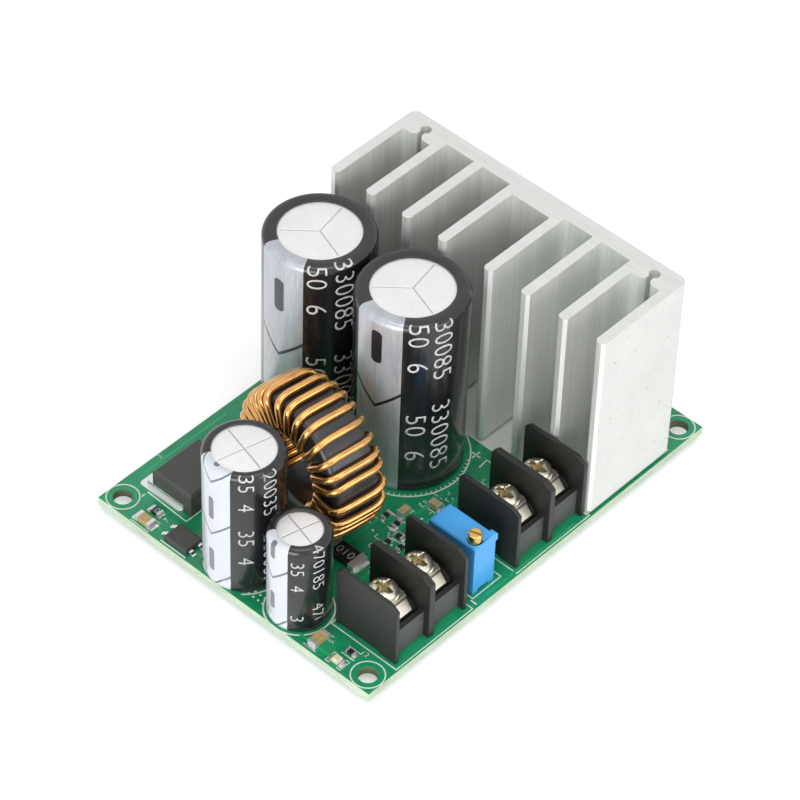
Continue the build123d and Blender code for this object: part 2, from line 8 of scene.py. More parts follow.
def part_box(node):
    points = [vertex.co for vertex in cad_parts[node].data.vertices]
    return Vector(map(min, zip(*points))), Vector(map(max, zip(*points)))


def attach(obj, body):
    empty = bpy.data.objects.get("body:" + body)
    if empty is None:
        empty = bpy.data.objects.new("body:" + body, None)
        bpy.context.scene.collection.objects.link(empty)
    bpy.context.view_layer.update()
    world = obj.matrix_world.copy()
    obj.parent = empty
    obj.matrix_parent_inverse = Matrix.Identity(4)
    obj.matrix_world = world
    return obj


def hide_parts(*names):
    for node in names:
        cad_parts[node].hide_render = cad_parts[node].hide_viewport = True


bl_info = {
    "name": "Converter board",
    "version": (1, 0, 0),
    "blender": (4, 5, 0),
    "location": "3D View > Sidebar > Converter",
    "description": "Dresses the solids of a step-down converter board",
    "category": "Object",
}

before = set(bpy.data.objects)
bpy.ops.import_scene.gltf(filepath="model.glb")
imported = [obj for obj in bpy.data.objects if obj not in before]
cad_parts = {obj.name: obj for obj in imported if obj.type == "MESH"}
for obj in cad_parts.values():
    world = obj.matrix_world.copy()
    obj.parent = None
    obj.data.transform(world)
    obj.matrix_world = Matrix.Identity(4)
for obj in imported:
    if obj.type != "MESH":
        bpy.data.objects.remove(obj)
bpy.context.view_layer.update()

MM = 0.001
UP = Vector((0, 0, 1))
# How far pads, vias and tracks sink into the board, so that no gap shows
SUNK = 0.01


# Sizes and colours that a user would change

def length(name, description, millimetres):
    return bpy.props.FloatProperty(
        name=name, description=description, default=millimetres * MM, min=0.0, unit="LENGTH", precision=5)


def share(name, description):
    return bpy.props.FloatProperty(name=name, description=description, default=1.0, min=0.0, max=2.0)


def colour(name, description, value):
    return bpy.props.FloatVectorProperty(
        name=name, description=description, default=value, size=3, min=0.0, max=1.0, subtype="COLOR")


class ConverterSizes(bpy.types.PropertyGroup):
    """Sizes of the trim that is added to the solids."""
    edge_share: share("Edge rounding", "How much the edges are rounded, against the widths as drawn")
    silk_width: length("Silk width", "Width of a printed line on the board", 0.26)
    silk_height: length("Silk height", "Height of the print above the solder mask", 0.03)
    track_height: length("Track height", "Rise of the mask over a copper track", 0.05)
    print_lift: length("Print lift", "Height of the printed digits above a sleeve", 0.02)
    sleeve_shoulder: length("Sleeve shoulder", "Radius where a sleeve turns over the can's rim", 1.05)
    wire_radius: length("Wire radius", "Radius of the enamelled wire", 0.6)
    wire_spread: share("Wire spread", "How unevenly the turns lie on the ring")
    mount_ring: length("Mounting ring", "Radius of the printed ring round a mounting hole", 3.0)
    board_clearance: length("Floor clearance", "Gap between the lowest solder joint and the floor", 0.02)


class ConverterColours(bpy.types.PropertyGroup):
    """Main colours of the module."""
    mask: colour("Solder mask", "Colour of the lacquered board", (0.010, 0.31, 0.13))
    board_edge: colour("Board edge", "Colour of the sawn glass fibre", (0.60, 0.70, 0.54))
    silk: colour("Silk print", "Colour of the print on the board", (0.80, 0.86, 0.78))
    sleeve: colour("Sleeve", "Colour of the shrink sleeve", (0.012, 0.012, 0.014))
    print_white: colour("Digits", "Colour of the digits on a sleeve", (0.66, 0.66, 0.67))
    aluminium: colour("Aluminium", "Colour of the extruded heatsink", (0.80, 0.815, 0.79))
    wire: colour("Wire", "Colour of the enamelled copper wire", (0.66, 0.33, 0.08))
    moulding: colour("Terminal moulding", "Colour of the terminal housings", (0.016, 0.016, 0.0155))
    trimmer: colour("Trimmer", "Colour of the trimmer's moulding", (0.075, 0.44, 1.0))
    brass: colour("Brass", "Colour of the trimmer's screw", (0.72, 0.50, 0.16))
    floor: colour("Floor", "Colour of the floor", (0.86, 0.86, 0.86))


def sizes():
    return bpy.context.scene.converter_sizes


def colours():
    return bpy.context.scene.converter_colours


# Trees of nodes

GEOMETRY, MATERIAL, OBJECT = "NodeSocketGeometry", "NodeSocketMaterial", "NodeSocketObject"
FLOAT, VECTOR = "NodeSocketFloat", "NodeSocketVector"
SOCKETS = {float: FLOAT, int: "NodeSocketInt", tuple: VECTOR}


class Value:
    """An output in a tree of nodes. Arithmetic with it adds Math nodes."""

    def __init__(self, tree, socket):
        self.tree = tree
        self.socket = socket

    def __add__(self, other):
        return self.tree.math("ADD", self, other)

    def __sub__(self, other):
        return self.tree.math("SUBTRACT", self, other)

    def __rsub__(self, other):
        return self.tree.math("SUBTRACT", other, self)

    def __mul__(self, other):
        return self.tree.math("MULTIPLY", self, other)

    def __truediv__(self, other):
        return self.tree.math("DIVIDE", self, other)

    def __abs__(self):
        return self.tree.math("ABSOLUTE", self)


class Tree:
    """Adds nodes to a tree and joins them by socket name or number."""

    def __init__(self, tree):
        self.tree = tree

    def add(self, kind, inputs=None, **settings):
        node = self.tree.nodes.new(kind)
        for key, value in settings.items():
            setattr(node, key, value)
        for key, value in (inputs or {}).items():
            self.put(node, key, value)
        return node

    def put(self, node, key, value):
        if isinstance(value, Value):
            self.tree.links.new(value.socket, node.inputs[key])
        else:
            node.inputs[key].default_value = value

    def value(self, kind, inputs=None, **settings):
        """Adds a node and gives its first output."""
        return Value(self, self.add(kind, inputs, **settings).outputs[0])

    def math(self, operation, *values, clamp=False):
        return self.value("ShaderNodeMath", dict(enumerate(values)), operation=operation, use_clamp=clamp)

    def vector(self, operation, *values):
        return self.value("ShaderNodeVectorMath", dict(enumerate(values)), operation=operation)

    def split(self, vector):
        """The three numbers of a vector."""
        return [Value(self, socket) for socket in self.add("ShaderNodeSeparateXYZ", {0: vector}).outputs]

    def mix(self, factor, first, second):
        node = self.add("ShaderNodeMix", {0: factor, 6: first, 7: second}, data_type="RGBA")
        return Value(self, node.outputs[2])

    def spread(self, value, low, high, source=(0.0, 1.0)):
        """A value moved from one range to another, and held inside it."""
        return self.value("ShaderNodeMapRange", {0: value, 1: source[0], 2: source[1], 3: low, 4: high})

    def millimetres(self):
        """The place on the object, in millimetres."""
        place = Value(self, self.add("ShaderNodeTexCoord").outputs["Object"])
        return self.vector("MULTIPLY", place, (1000.0, 1000.0, 1000.0))

    def seen(self, *rays):
        """One where a ray is of any of these kinds."""
        outputs = self.add("ShaderNodeLightPath").outputs
        found = Value(self, outputs[rays[0]])
        for ray in rays[1:]:
            found = self.math("MAXIMUM", found, Value(self, outputs[ray]))
        return found


def new_group(kind, name, inputs, outputs):
    """An empty node group. Its inputs are named with a first value, or with a type if they have none."""
    group = bpy.data.node_groups.new(name, kind)
    for key, first in inputs.items():
        typed = isinstance(first, str)
        socket = group.interface.new_socket(
            key, in_out="INPUT", socket_type=first if typed else SOCKETS[type(first)])
        if not typed:
            socket.default_value = first
    for key, socket_type in outputs.items():
        group.interface.new_socket(key, in_out="OUTPUT", socket_type=socket_type)
    tree = Tree(group)
    given = {socket.name: Value(tree, socket) for socket in tree.add("NodeGroupInput").outputs}
    return tree, given, tree.add("NodeGroupOutput")


def make_grain_group():
    """Fine unevenness of a surface: a value for colour and roughness, and a normal."""
    tree, given, result = new_group(
        "ShaderNodeTree", "fine_grain", {"Stretch": (1.0, 1.0, 1.0), "Scale": 1.0, "Depth": 0.01},
        {"Value": FLOAT, "Normal": VECTOR})
    place = tree.vector("MULTIPLY", tree.millimetres(), given["Stretch"])
    fine = tree.value("ShaderNodeTexNoise", {
        "Vector": place, "Scale": given["Scale"], "Detail": 4.0, "Roughness": 0.6})
    wide = tree.value("ShaderNodeTexNoise", {"Vector": place, "Scale": given["Scale"] * 0.13, "Detail": 2.0})
    bump = tree.value("ShaderNodeBump", {"Strength": 1.0, "Distance": given["Depth"] * MM, "Height": fine})
    tree.put(result, "Value", tree.spread(fine * 0.55 + wide * 0.45, 0.0, 1.0, (0.3, 0.7)))
    tree.put(result, "Normal", bump)
    return tree.tree


def make_slab_group():
    """Mask of a slab with round corners, given the distances from its middle."""
    tree, given, result = new_group("ShaderNodeTree", "slab_mask", {
        "Across": 0.0, "Along": 0.0, "Half Width": 1.0, "Half Length": 3.0, "Corner": 0.3, "Soft": 0.06},
        {"Mask": FLOAT})
    corner = given["Corner"]
    x, y = (tree.math("MAXIMUM", abs(given[way]) - (given[half] - corner), 0.0)
            for way, half in (("Across", "Half Width"), ("Along", "Half Length")))
    edge = (tree.math("SQRT", x * x + y * y) - corner) / given["Soft"]
    outside = tree.math("ADD", edge, 0.5, clamp=True)
    tree.put(result, "Mask", tree.math("SUBTRACT", 1.0, outside, clamp=True))
    return tree.tree


def make_ray_group():
    """Mask of a thin line that runs out from the middle of a can's end."""
    tree, given, result = new_group("ShaderNodeTree", "scored_ray", {
        "Place": (0.0, 0.0, 0.0), "Angle": 0.0, "Reach": 5.0, "Half Width": 0.09}, {"Mask": FLOAT})
    x, y, _ = tree.split(given["Place"])
    cosine, sine = (tree.math(kind, given["Angle"]) for kind in ("COSINE", "SINE"))
    along, across = x * cosine + y * sine, y * cosine - x * sine
    line = tree.math("SUBTRACT", 1.0, abs(across) / given["Half Width"], clamp=True)
    within = tree.math("GREATER_THAN", along, 0.0) * tree.math("LESS_THAN", along, given["Reach"])
    tree.put(result, "Mask", line * within)
    return tree.tree


def close_tree(tree, given, result, geometry):
    """Ends a geometry tree: real faces, and one material."""
    real = tree.value("GeometryNodeRealizeInstances", {0: geometry})
    tree.put(result, "Geometry", tree.value("GeometryNodeSetMaterial", {
        "Geometry": real, "Material": given["Material"]}))
    return tree.tree


def swept(tree, curve, section):
    """A section carried along a curve, with closed ends."""
    return tree.value("GeometryNodeCurveToMesh", {0: curve, 1: section, "Fill Caps": True})


def round_section(tree, given):
    return tree.value("GeometryNodeCurvePrimitiveCircle", {
        "Resolution": given["Sides"], "Radius": given["Radius"]})


def make_wire_tree():
    """A round wire along the edges of a mesh."""
    tree, given, result = new_group("GeometryNodeTree", "wire_tube", {
        "Geometry": GEOMETRY, "Radius": 0.0006, "Sides": 12, "Material": MATERIAL}, {"Geometry": GEOMETRY})
    curve = tree.value("GeometryNodeMeshToCurve", {0: given["Geometry"]})
    even = tree.value("GeometryNodeResampleCurve", {"Curve": curve, "Count": 40})
    return close_tree(tree, given, result, swept(tree, even, round_section(tree, given)))


def make_line_tree():
    """A flat printed or etched line along the edges of a mesh."""
    tree, given, result = new_group("GeometryNodeTree", "flat_line", {
        "Geometry": GEOMETRY, "Width": 0.0002, "Height": 0.00003, "Material": MATERIAL},
        {"Geometry": GEOMETRY})
    curve = tree.value("GeometryNodeMeshToCurve", {0: given["Geometry"]})
    upright = tree.value("GeometryNodeSetCurveNormal", {0: curve}, mode="Z_UP")
    section = tree.value("GeometryNodeCurvePrimitiveQuadrilateral", {0: given["Width"], 1: given["Height"]})
    flat = tree.value("GeometryNodeSetShadeSmooth", {0: swept(tree, upright, section), "Shade Smooth": False})
    return close_tree(tree, given, result, flat)


def make_points_tree():
    """One small shape at every point, each with its own size."""
    tree, given, result = new_group("GeometryNodeTree", "set_at_points", {
        "Geometry": GEOMETRY, "Shape": OBJECT, "Material": MATERIAL}, {"Geometry": GEOMETRY})
    shape = tree.add("GeometryNodeObjectInfo", {"Object": given["Shape"], "As Instance": True})
    size = tree.value("GeometryNodeInputNamedAttribute", {"Name": "size"}, data_type="FLOAT_VECTOR")
    placed = tree.value("GeometryNodeInstanceOnPoints", {
        "Points": given["Geometry"], "Instance": Value(tree, shape.outputs["Geometry"]), "Scale": size})
    return close_tree(tree, given, result, placed)


def make_winding_tree():
    """A wire wound round a ring: every turn is a loop with round corners, and the turns step round
    the ring. The source mesh has one point for each turn, with its own sway."""
    tree, given, result = new_group("GeometryNodeTree", "ring_winding", {
        "Geometry": GEOMETRY, "Turns": 24.0, "Steps": 40, "Start": 0.0, "Step": 0.2,
        "Ring Radius": 0.0095, "Half Depth": 0.003, "Half Width": 0.005, "Corner": 0.35,
        "Radius": 0.0006, "Sides": 12, "Material": MATERIAL}, {"Geometry": GEOMETRY})
    line = tree.value("GeometryNodeMeshLine", {"Count": given["Turns"] * given["Steps"] + 1.0})
    turn = tree.value("GeometryNodeInputIndex") / given["Steps"]
    number = tree.math("FLOOR", turn)
    part = turn - number
    own = tree.value("GeometryNodeInputNamedAttribute", {"Name": "sway"}, data_type="FLOAT")
    this, following = (tree.value(
        "GeometryNodeSampleIndex", {"Geometry": given["Geometry"], "Value": own, "Index": number + offset},
        data_type="FLOAT", domain="POINT", clamp=True) for offset in (0.0, 1.0))
    sway = this * (1.0 - part) + following * part
    rounded = []
    for kind in ("COSINE", "SINE"):
        wave = tree.math(kind, turn * (2 * math.pi))
        rounded.append(tree.math("SIGN", wave) * tree.math("POWER", abs(wave), given["Corner"]))
    radius = given["Ring Radius"] + rounded[0] * given["Half Depth"]
    angle = given["Start"] + (turn * given["Step"] + sway)
    place = tree.value("ShaderNodeCombineXYZ", {
        0: radius * tree.math("COSINE", angle), 1: rounded[1] * given["Half Width"],
        2: radius * tree.math("SINE", angle)})
    moved = tree.value("GeometryNodeSetPosition", {"Geometry": line, "Position": place})
    curve = tree.value("GeometryNodeMeshToCurve", {0: moved})
    return close_tree(tree, given, result, swept(tree, curve, round_section(tree, given)))


MAKERS = {
    "fine_grain": make_grain_group, "slab_mask": make_slab_group, "scored_ray": make_ray_group,
    "wire_tube": make_wire_tree, "flat_line": make_line_tree, "set_at_points": make_points_tree,
    "ring_winding": make_winding_tree,
}
groups = {}
finishes = {}


def node_group(name):
    """A node group by its name, made the first time that it is needed."""
    if name not in groups:
        groups[name] = MAKERS[name]()
    return groups[name]


# Materials

def scaled(value, level):
    return [channel * level for channel in value]


def rgba(value, level=1.0):
    return tuple(min(1.0, channel) for channel in scaled(value, level)) + (1.0,)


class Finish:
    """One material: a grain that moves its colour, roughness and normal, and room for prints."""

    def __init__(self, name, base, roughness, metallic=0.0, vary=0.12, scale=1.0, depth=0.01,
                 stretch=(1.0, 1.0, 1.0), rough_vary=0.08, coat=0.0):
        self.name = name
        self.material = bpy.data.materials.new(name)
        self.material.use_nodes = True
        self.tree = Tree(self.material.node_tree)
        self.shader = self.material.node_tree.nodes["Principled BSDF"]
        grain = self.tree.add("ShaderNodeGroup", {"Stretch": stretch, "Scale": scale, "Depth": depth},
                              node_tree=node_group("fine_grain"))
        value, self.normal = (Value(self.tree, socket) for socket in grain.outputs)
        self.colour = self.tree.mix(value, rgba(base, 1.0 - vary), rgba(base, 1.0 + vary))
        self.roughness = self.tree.spread(value, max(0.02, roughness - rough_vary), roughness + rough_vary)
        for key, constant in (("Metallic", metallic), ("IOR", 1.5), ("Coat Weight", coat),
                              ("Coat Roughness", 0.08)):
            self.tree.put(self.shader, key, constant)

    def paint(self, mask, value, roughness=None):
        """Lays another colour, and if given another roughness, where the mask is one."""
        self.colour = self.tree.mix(mask, self.colour, rgba(value))
        if roughness is not None:
            self.roughness = self.tree.value(
                "ShaderNodeMix", {0: mask, 2: self.roughness, 3: roughness}, data_type="FLOAT")

    def press(self, mask, depth):
        """Sinks the surface by a depth in millimetres where the mask is one."""
        self.normal = self.tree.value("ShaderNodeBump", {
            "Strength": 1.0, "Distance": depth * MM, "Height": mask, "Normal": self.normal}, invert=True)

    def speckle(self, scale, size, value):
        """Scatters small dark pits: about scale of them to a millimetre, one in three of them used."""
        tree = self.tree
        cells = tree.add("ShaderNodeTexVoronoi", {"Vector": tree.millimetres(), "Scale": scale}).outputs
        chosen = tree.math("LESS_THAN", tree.split(Value(tree, cells["Color"]))[0], 0.33)
        mask = tree.math("LESS_THAN", Value(tree, cells["Distance"]), size * 0.5) * chosen
        self.paint(mask, value, 0.7)
        self.press(mask, 0.03)

    def done(self):
        for key, value in (("Base Color", self.colour), ("Roughness", self.roughness),
                           ("Normal", self.normal)):
            self.tree.put(self.shader, key, value)
        finishes[self.name] = self.material
        return self.name


def make_finishes():
    c = colours()
    track = tuple(channel * 1.25 + 0.01 for channel in c.mask)
    side, sawn = scaled(c.aluminium, 0.97), scaled(c.aluminium, 0.94)
    # Name, colour, roughness, metallic, vary, scale and depth, and what else differs
    for name, base, roughness, metallic, vary, scale, depth, more in (
            ("board_mask", c.mask, 0.3, 0.0, 0.16, 0.35, 0.003, dict(coat=0.08)),
            ("board_edge", c.board_edge, 0.75, 0.0, 0.25, 2.2, 0.03, dict(stretch=(1, 1, 3))),
            # painted shade: a dark colour for the walls inside the board's holes
            ("shaded_hole_wall", (0.15, 0.17, 0.09), 0.7, 0.0, 0.25, 2.2, 0.03, {}),
            ("silk_print", c.silk, 0.6, 0.0, 0.08, 3.0, 0.004, {}),
            ("copper_track", track, 0.3, 0.0, 0.1, 0.6, 0.003, dict(coat=0.08)),
            ("solder", (0.74, 0.75, 0.76), 0.28, 0.95, 0.08, 1.1, 0.008, {}),
            ("mill_aluminium", c.aluminium, 0.38, 0.45, 0.13, 2.4, 0.004,
             dict(stretch=(1, 1, 0.02), rough_vary=0.1)),
            ("side_aluminium", side, 0.5, 0.3, 0.07, 1.1, 0.012, dict(rough_vary=0.1)),
            ("sawn_aluminium", sawn, 0.5, 0.5, 0.08, 1.6, 0.005,
             dict(stretch=(0.10, 3.0, 1.0), rough_vary=0.12)),
            ("tinned_lead", (0.76, 0.77, 0.77), 0.25, 1.0, 0.08, 1.3, 0.008, {}),
            ("core_coating", (0.020, 0.021, 0.022), 0.36, 0.0, 0.25, 1.5, 0.03, dict(coat=0.3)),
            ("enamelled_wire", c.wire, 0.2, 0.88, 0.3, 0.5, 0.006, dict(coat=1.0)),
            ("black_moulding", c.moulding, 0.5, 0.0, 0.15, 2.6, 0.012, dict(rough_vary=0.06)),
            # a lighter copy of the black moulding for the blocks' front faces: painted light over their real
            # ribbing
            ("ribbed_moulding_lit", (0.095, 0.10, 0.095), 0.62, 0.0, 0.35, 3.0, 0.03,
             dict(stretch=(1, 0.06, 1.6))),
            ("nickel_plate", (0.70, 0.67, 0.57), 0.3, 0.95, 0.06, 1.4, 0.001, dict(rough_vary=0.03)),
            ("steel_screw", (0.70, 0.70, 0.68), 0.3, 1.0, 0.08, 1.8, 0.01, {}),
            # painted shade: darker and yellower than the nickel, for the faces inside the screws' cross and
            # slot
            ("screw_recess_shade", (0.42, 0.34, 0.16), 0.45, 0.8, 0.2, 2.0, 0.02, {}),
            ("blue_plastic", c.trimmer, 0.38, 0.0, 0.08, 2.0, 0.008, dict(coat=0.1)),
            ("brass", c.brass, 0.28, 1.0, 0.10, 1.6, 0.008, {}),
            ("chip_black", (0.060, 0.061, 0.057), 0.55, 0.0, 0.2, 3.2, 0.012, {}),
            ("resistor_black", (0.018, 0.018, 0.020), 0.3, 0.0, 0.2, 1.6, 0.008, dict(coat=0.2)),
            ("resistor_ends", (0.72, 0.72, 0.70), 0.35, 0.7, 0.1, 1.5, 0.02, {}),
            ("ceramic_tan", (0.56, 0.40, 0.16), 0.45, 0.0, 0.15, 1.5, 0.015, {}),
            ("led_clear", (0.80, 0.76, 0.48), 0.2, 0.0, 0.08, 1.0, 0.01, dict(coat=0.4)),
            ("sleeve_digits", c.print_white, 0.5, 0.0, 0.05, 2.0, 0.003, {}),
            ("black_sleeve", c.sleeve, 0.24, 0.0, 0.2, 0.35, 0.02, dict(stretch=(1, 1, 0.35), coat=0.25))):
        finish = Finish(name, base, roughness, metallic, vary, scale, depth, **more)
        if name == "side_aluminium":
            finish.speckle(0.42, 0.13, (0.42, 0.42, 0.40))
        finish.done()


# Meshes

def linked(name, data):
    """A new object in the scene."""
    obj = bpy.data.objects.new(name, data)
    bpy.context.scene.collection.objects.link(obj)
    return obj


def removed(obj):
    mesh = obj.data
    bpy.data.objects.remove(obj)
    bpy.data.meshes.remove(mesh)


def object_from(bm, name):
    """A new object from a mesh that was built in millimetres."""
    mesh = bpy.data.meshes.new(name)
    bm.to_mesh(mesh)
    bm.free()
    mesh.transform(Matrix.Scale(MM, 4))
    return linked(name, mesh)


def make_plain(obj):
    """Turns an object's modifiers into plain mesh."""
    depsgraph = bpy.context.evaluated_depsgraph_get()
    mesh = bpy.data.meshes.new_from_object(
        obj.evaluated_get(depsgraph), preserve_all_data_layers=True, depsgraph=depsgraph)
    old = obj.data
    obj.modifiers.clear()
    obj.data = mesh
    bpy.data.meshes.remove(old)
    return obj


def smoothed(obj, degrees=35):
    obj.data.shade_smooth()
    obj.data.set_sharp_from_angle(angle=math.radians(degrees))
    return obj


def bevelled(obj, width, segments=2, degrees=30):
    """Rounds the edges of an object by millimetres, with normals that keep its flat faces flat."""
    obj.data.shade_smooth()
    bevel = obj.modifiers.new("Bevel", "BEVEL")
    bevel.width = width * MM * sizes().edge_share
    bevel.segments = segments
    bevel.limit_method = "ANGLE"
    bevel.angle_limit = math.radians(degrees)
    bevel.harden_normals = True
    return make_plain(obj)


def copied(node):
    """A copy of a CAD node in millimetres, with its doubles merged and its flat faces whole."""
    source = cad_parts[node].data
    bm = bmesh.new()
    verts = [bm.verts.new(v.co / MM) for v in source.vertices]
    for polygon in source.polygons:
        bm.faces.new([verts[i] for i in polygon.vertices])
    bmesh.ops.remove_doubles(bm, verts=bm.verts, dist=0.002)
    bmesh.ops.dissolve_limit(bm, angle_limit=math.radians(1), verts=bm.verts, edges=bm.edges)
    return bm


def dressed(node, width):
    """A CAD node's own shape with rounded edges."""
    return bevelled(object_from(copied(node), node + "_dressed"), width)


def painted(obj, names, choose):
    """Gives an object several finishes: choose picks one by a face's middle in millimetres and normal."""
    obj.data.materials.clear()
    for name in names:
        obj.data.materials.append(finishes[name])
    for polygon in obj.data.polygons:
        polygon.material_index = choose(polygon.center / MM, polygon.normal)
    return obj


def ready(obj, slot, node=None, body="root", finish=None):
    """Gives a piece its body and, if it has no finish, the finish named by finish, else by slot, and hides the
    CAD node that it stands for.
    """
    if not any(obj.data.materials):
        obj.data.materials.clear()
        obj.data.materials.append(finishes[finish or slot])
    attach(obj, body)
    if node:
        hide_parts(node)


def kept_shape(node, width, slot):
    """Dresses a CAD node that only needs rounded edges and a finish."""
    ready(dressed(node, width), slot, node)


def extent(node):
    """Lowest and highest corner of a CAD node, in millimetres."""
    low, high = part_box(node)
    return low / MM, high / MM


def middle(node):
    low, high = extent(node)
    return (low + high) / 2


def boxes(node):
    """Lowest and highest corner of every separate solid of a CAD node, in millimetres."""
    bm = copied(node)
    left, found = set(bm.verts), []
    for first in bm.verts:
        if first not in left:
            continue
        left.remove(first)
        todo, island = [first], []
        while todo:
            vert = todo.pop()
            island.append(vert.co)
            for edge in vert.link_edges:
                other = edge.other_vert(vert)
                if other in left:
                    left.remove(other)
                    todo.append(other)
        found.append([Vector([pick(co[i] for co in island) for i in range(3)]) for pick in (min, max)])
    bm.free()
    return found


def even_angles(count, start=0.0):
    return [start + 2 * math.pi * i / count for i in range(count)]


def arc(x, y, radius, start=0.0, end=360.0, steps=48):
    """Points of an arc, by angle in degrees; a whole circle ends on its first point."""
    points = []
    for i in range(steps + 1):
        angle = math.radians(start + (end - start) * i / steps)
        points.append((x + radius * math.cos(angle), y + radius * math.sin(angle)))
    if end - start == 360.0:
        points[-1] = points[0]
    return points


def turned(name, profile, angles, matrix=Matrix(), uv_turn=0.0, uv_radius=1.0):
    """A closed profile of (radius, height) turned round Z and then placed. Its UVs hold millimetres:
    the way round the surface from uv_turn, and the way along the profile from its first point."""
    bm = bmesh.new()
    layer = bm.loops.layers.uv.new("unrolled")
    walked = [0.0]
    for (r0, z0), (r1, z1) in zip(profile, profile[1:] + profile[:1]):
        walked.append(walked[-1] + math.hypot(r1 - r0, z1 - z0))
    rows = []
    for radius, height in profile:
        if radius < 1e-6:
            rows.append([bm.verts.new((0, 0, height))] * len(angles))
        else:
            rows.append([bm.verts.new((radius * math.cos(a), radius * math.sin(a), height)) for a in angles])
    count, steps = len(profile), len(angles)
    for i in range(count):
        for j in range(steps):
            k = (j + 1) % steps
            verts, places = [], []
            for row, step in ((i, j), ((i + 1) % count, j), ((i + 1) % count, k), (i, k)):
                vert = rows[row][step]
                if vert not in verts:
                    verts.append(vert)
                    places.append((row, step))
            if len(verts) < 3:
                continue
            face = bm.faces.new(verts)
            last = angles[k] + (2 * math.pi if k == 0 else 0)
            for loop, (row, step) in zip(face.loops, places):
                angle = last if step == k else angles[j]
                along = walked[i + 1] if row == (i + 1) % count else walked[i]
                loop[layer].uv = ((angle - uv_turn) * uv_radius, along)
    bmesh.ops.recalc_face_normals(bm, faces=bm.faces)
    bmesh.ops.transform(bm, matrix=matrix, verts=bm.verts)
    return object_from(bm, name)


def block(name, low, high, matrix=Matrix()):
    """A plain block by its two corners, then placed."""
    bm = bmesh.new()
    for vert in bmesh.ops.create_cube(bm, size=1.0)["verts"]:
        vert.co = Vector([low[i] if vert.co[i] < 0 else high[i] for i in range(3)])
    bmesh.ops.transform(bm, matrix=matrix, verts=bm.verts)
    return object_from(bm, name)


def upright(x, y, z=0.0, degrees=0.0):
    """The place of something that stands upright, turned about Z."""
    return Matrix.Translation((x, y, z)) @ Matrix.Rotation(math.radians(degrees), 4, "Z")


def subtract(obj, cutters):
    """Cuts every cutter out of an object, and removes them."""
    for cutter in cutters:
        boolean = obj.modifiers.new("Cut", "BOOLEAN")
        boolean.object = cutter
        boolean.operation = "DIFFERENCE"
        boolean.solver = "EXACT"
    make_plain(obj)
    for cutter in cutters:
        removed(cutter)
    return obj


def joined(objs, name, outward=False):
    """Several mesh objects as one, keeping their materials; outward turns all faces outward."""
    bm = bmesh.new()
    materials = []
    for obj in objs:
        start = len(bm.faces)
        bm.from_mesh(obj.data)
        bm.faces.ensure_lookup_table()
        own = list(obj.data.materials)
        materials += [material for material in own if material not in materials]
        for face in bm.faces[start:]:
            if own:
                face.material_index = materials.index(own[min(face.material_index, len(own) - 1)])
        removed(obj)
    if outward:
        bmesh.ops.recalc_face_normals(bm, faces=bm.faces)
    mesh = bpy.data.meshes.new(name)
    bm.to_mesh(mesh)
    bm.free()
    for material in materials:
        mesh.materials.append(material)
    return linked(name, mesh)


# Shapes that repeat or follow a path, made by the geometry trees

def grown(source, tree_name, values):
    """What a geometry tree makes of a source object, as a plain mesh."""
    tree = node_group(tree_name)
    modifier = source.modifiers.new(tree_name, "NODES")
    modifier.node_group = tree
    for item in tree.interface.items_tree:
        if item.item_type == "SOCKET" and item.in_out == "INPUT" and item.name in values:
            modifier[item.identifier] = values[item.name]
    return make_plain(source)


def lines_object(name, paths, height=0.0):
    """A mesh of edges from paths in millimetres, flat ones at a height. A path whose ends meet is closed."""
    bm = bmesh.new()
    for path in paths:
        verts = [bm.verts.new((*point, height)[:3]) for point in path]
        if (Vector(path[0]) - Vector(path[-1])).length < 1e-6:
            bm.verts.remove(verts.pop())
            verts.append(verts[0])
        for a, b in zip(verts, verts[1:]):
            bm.edges.new((a, b))
    return object_from(bm, name)


def repeated(name, shape, places, finish, degrees=35):
    """A shape set at every place, each with a (x, y, z) and a size in millimetres."""
    bm = bmesh.new()
    for place, _ in places:
        bm.verts.new(place)
    points = object_from(bm, name)
    size = points.data.attributes.new("size", "FLOAT_VECTOR", "POINT")
    for i, (_, scale) in enumerate(places):
        size.data[i].vector = scale
    grown(points, "set_at_points", {"Shape": shape, "Material": finishes[finish]})
    removed(shape)
    return smoothed(points, degrees)


# Text made of plain digits

def digit_mesh(text, height):
    """Flat digits in millimetres: x along the line, y up, the first digit's corner at the origin."""
    curve = bpy.data.curves.new("digits", "FONT")
    curve.body = text
    curve.size = height / 0.69
    curve.offset = -0.014 * height
    curve.space_character = 1.05
    curve.resolution_u = 3
    obj = linked("digits", curve)
    depsgraph = bpy.context.evaluated_depsgraph_get()
    mesh = bpy.data.meshes.new_from_object(obj.evaluated_get(depsgraph), depsgraph=depsgraph)
    bpy.data.objects.remove(obj)
    bpy.data.curves.remove(curve)
    bm = bmesh.new()
    bm.from_mesh(mesh)
    bpy.data.meshes.remove(mesh)
    bmesh.ops.remove_doubles(bm, verts=bm.verts, dist=1e-4)
    bmesh.ops.dissolve_limit(bm, angle_limit=math.radians(1), verts=bm.verts, edges=bm.edges)
    return bm


def raised(bm, height):
    """Gives flat digits a thickness."""
    made = bmesh.ops.extrude_face_region(bm, geom=bm.faces[:])
    for item in made["geom"]:
        if isinstance(item, bmesh.types.BMVert):
            item.co.z = height


def sliced(bm, axis, step):
    """Cuts flat faces across an axis at even steps, so that they can bend."""
    values = [v.co[axis] for v in bm.verts]
    normal = Vector([1.0 if i == axis else 0.0 for i in range(3)])
    at = math.floor(min(values) / step) * step + step
    while at < max(values):
        geometry = bm.verts[:] + bm.edges[:] + bm.faces[:]
        bmesh.ops.bisect_plane(bm, geom=geometry, dist=1e-5, plane_co=normal * at, plane_no=normal)
        at += step


# Operators

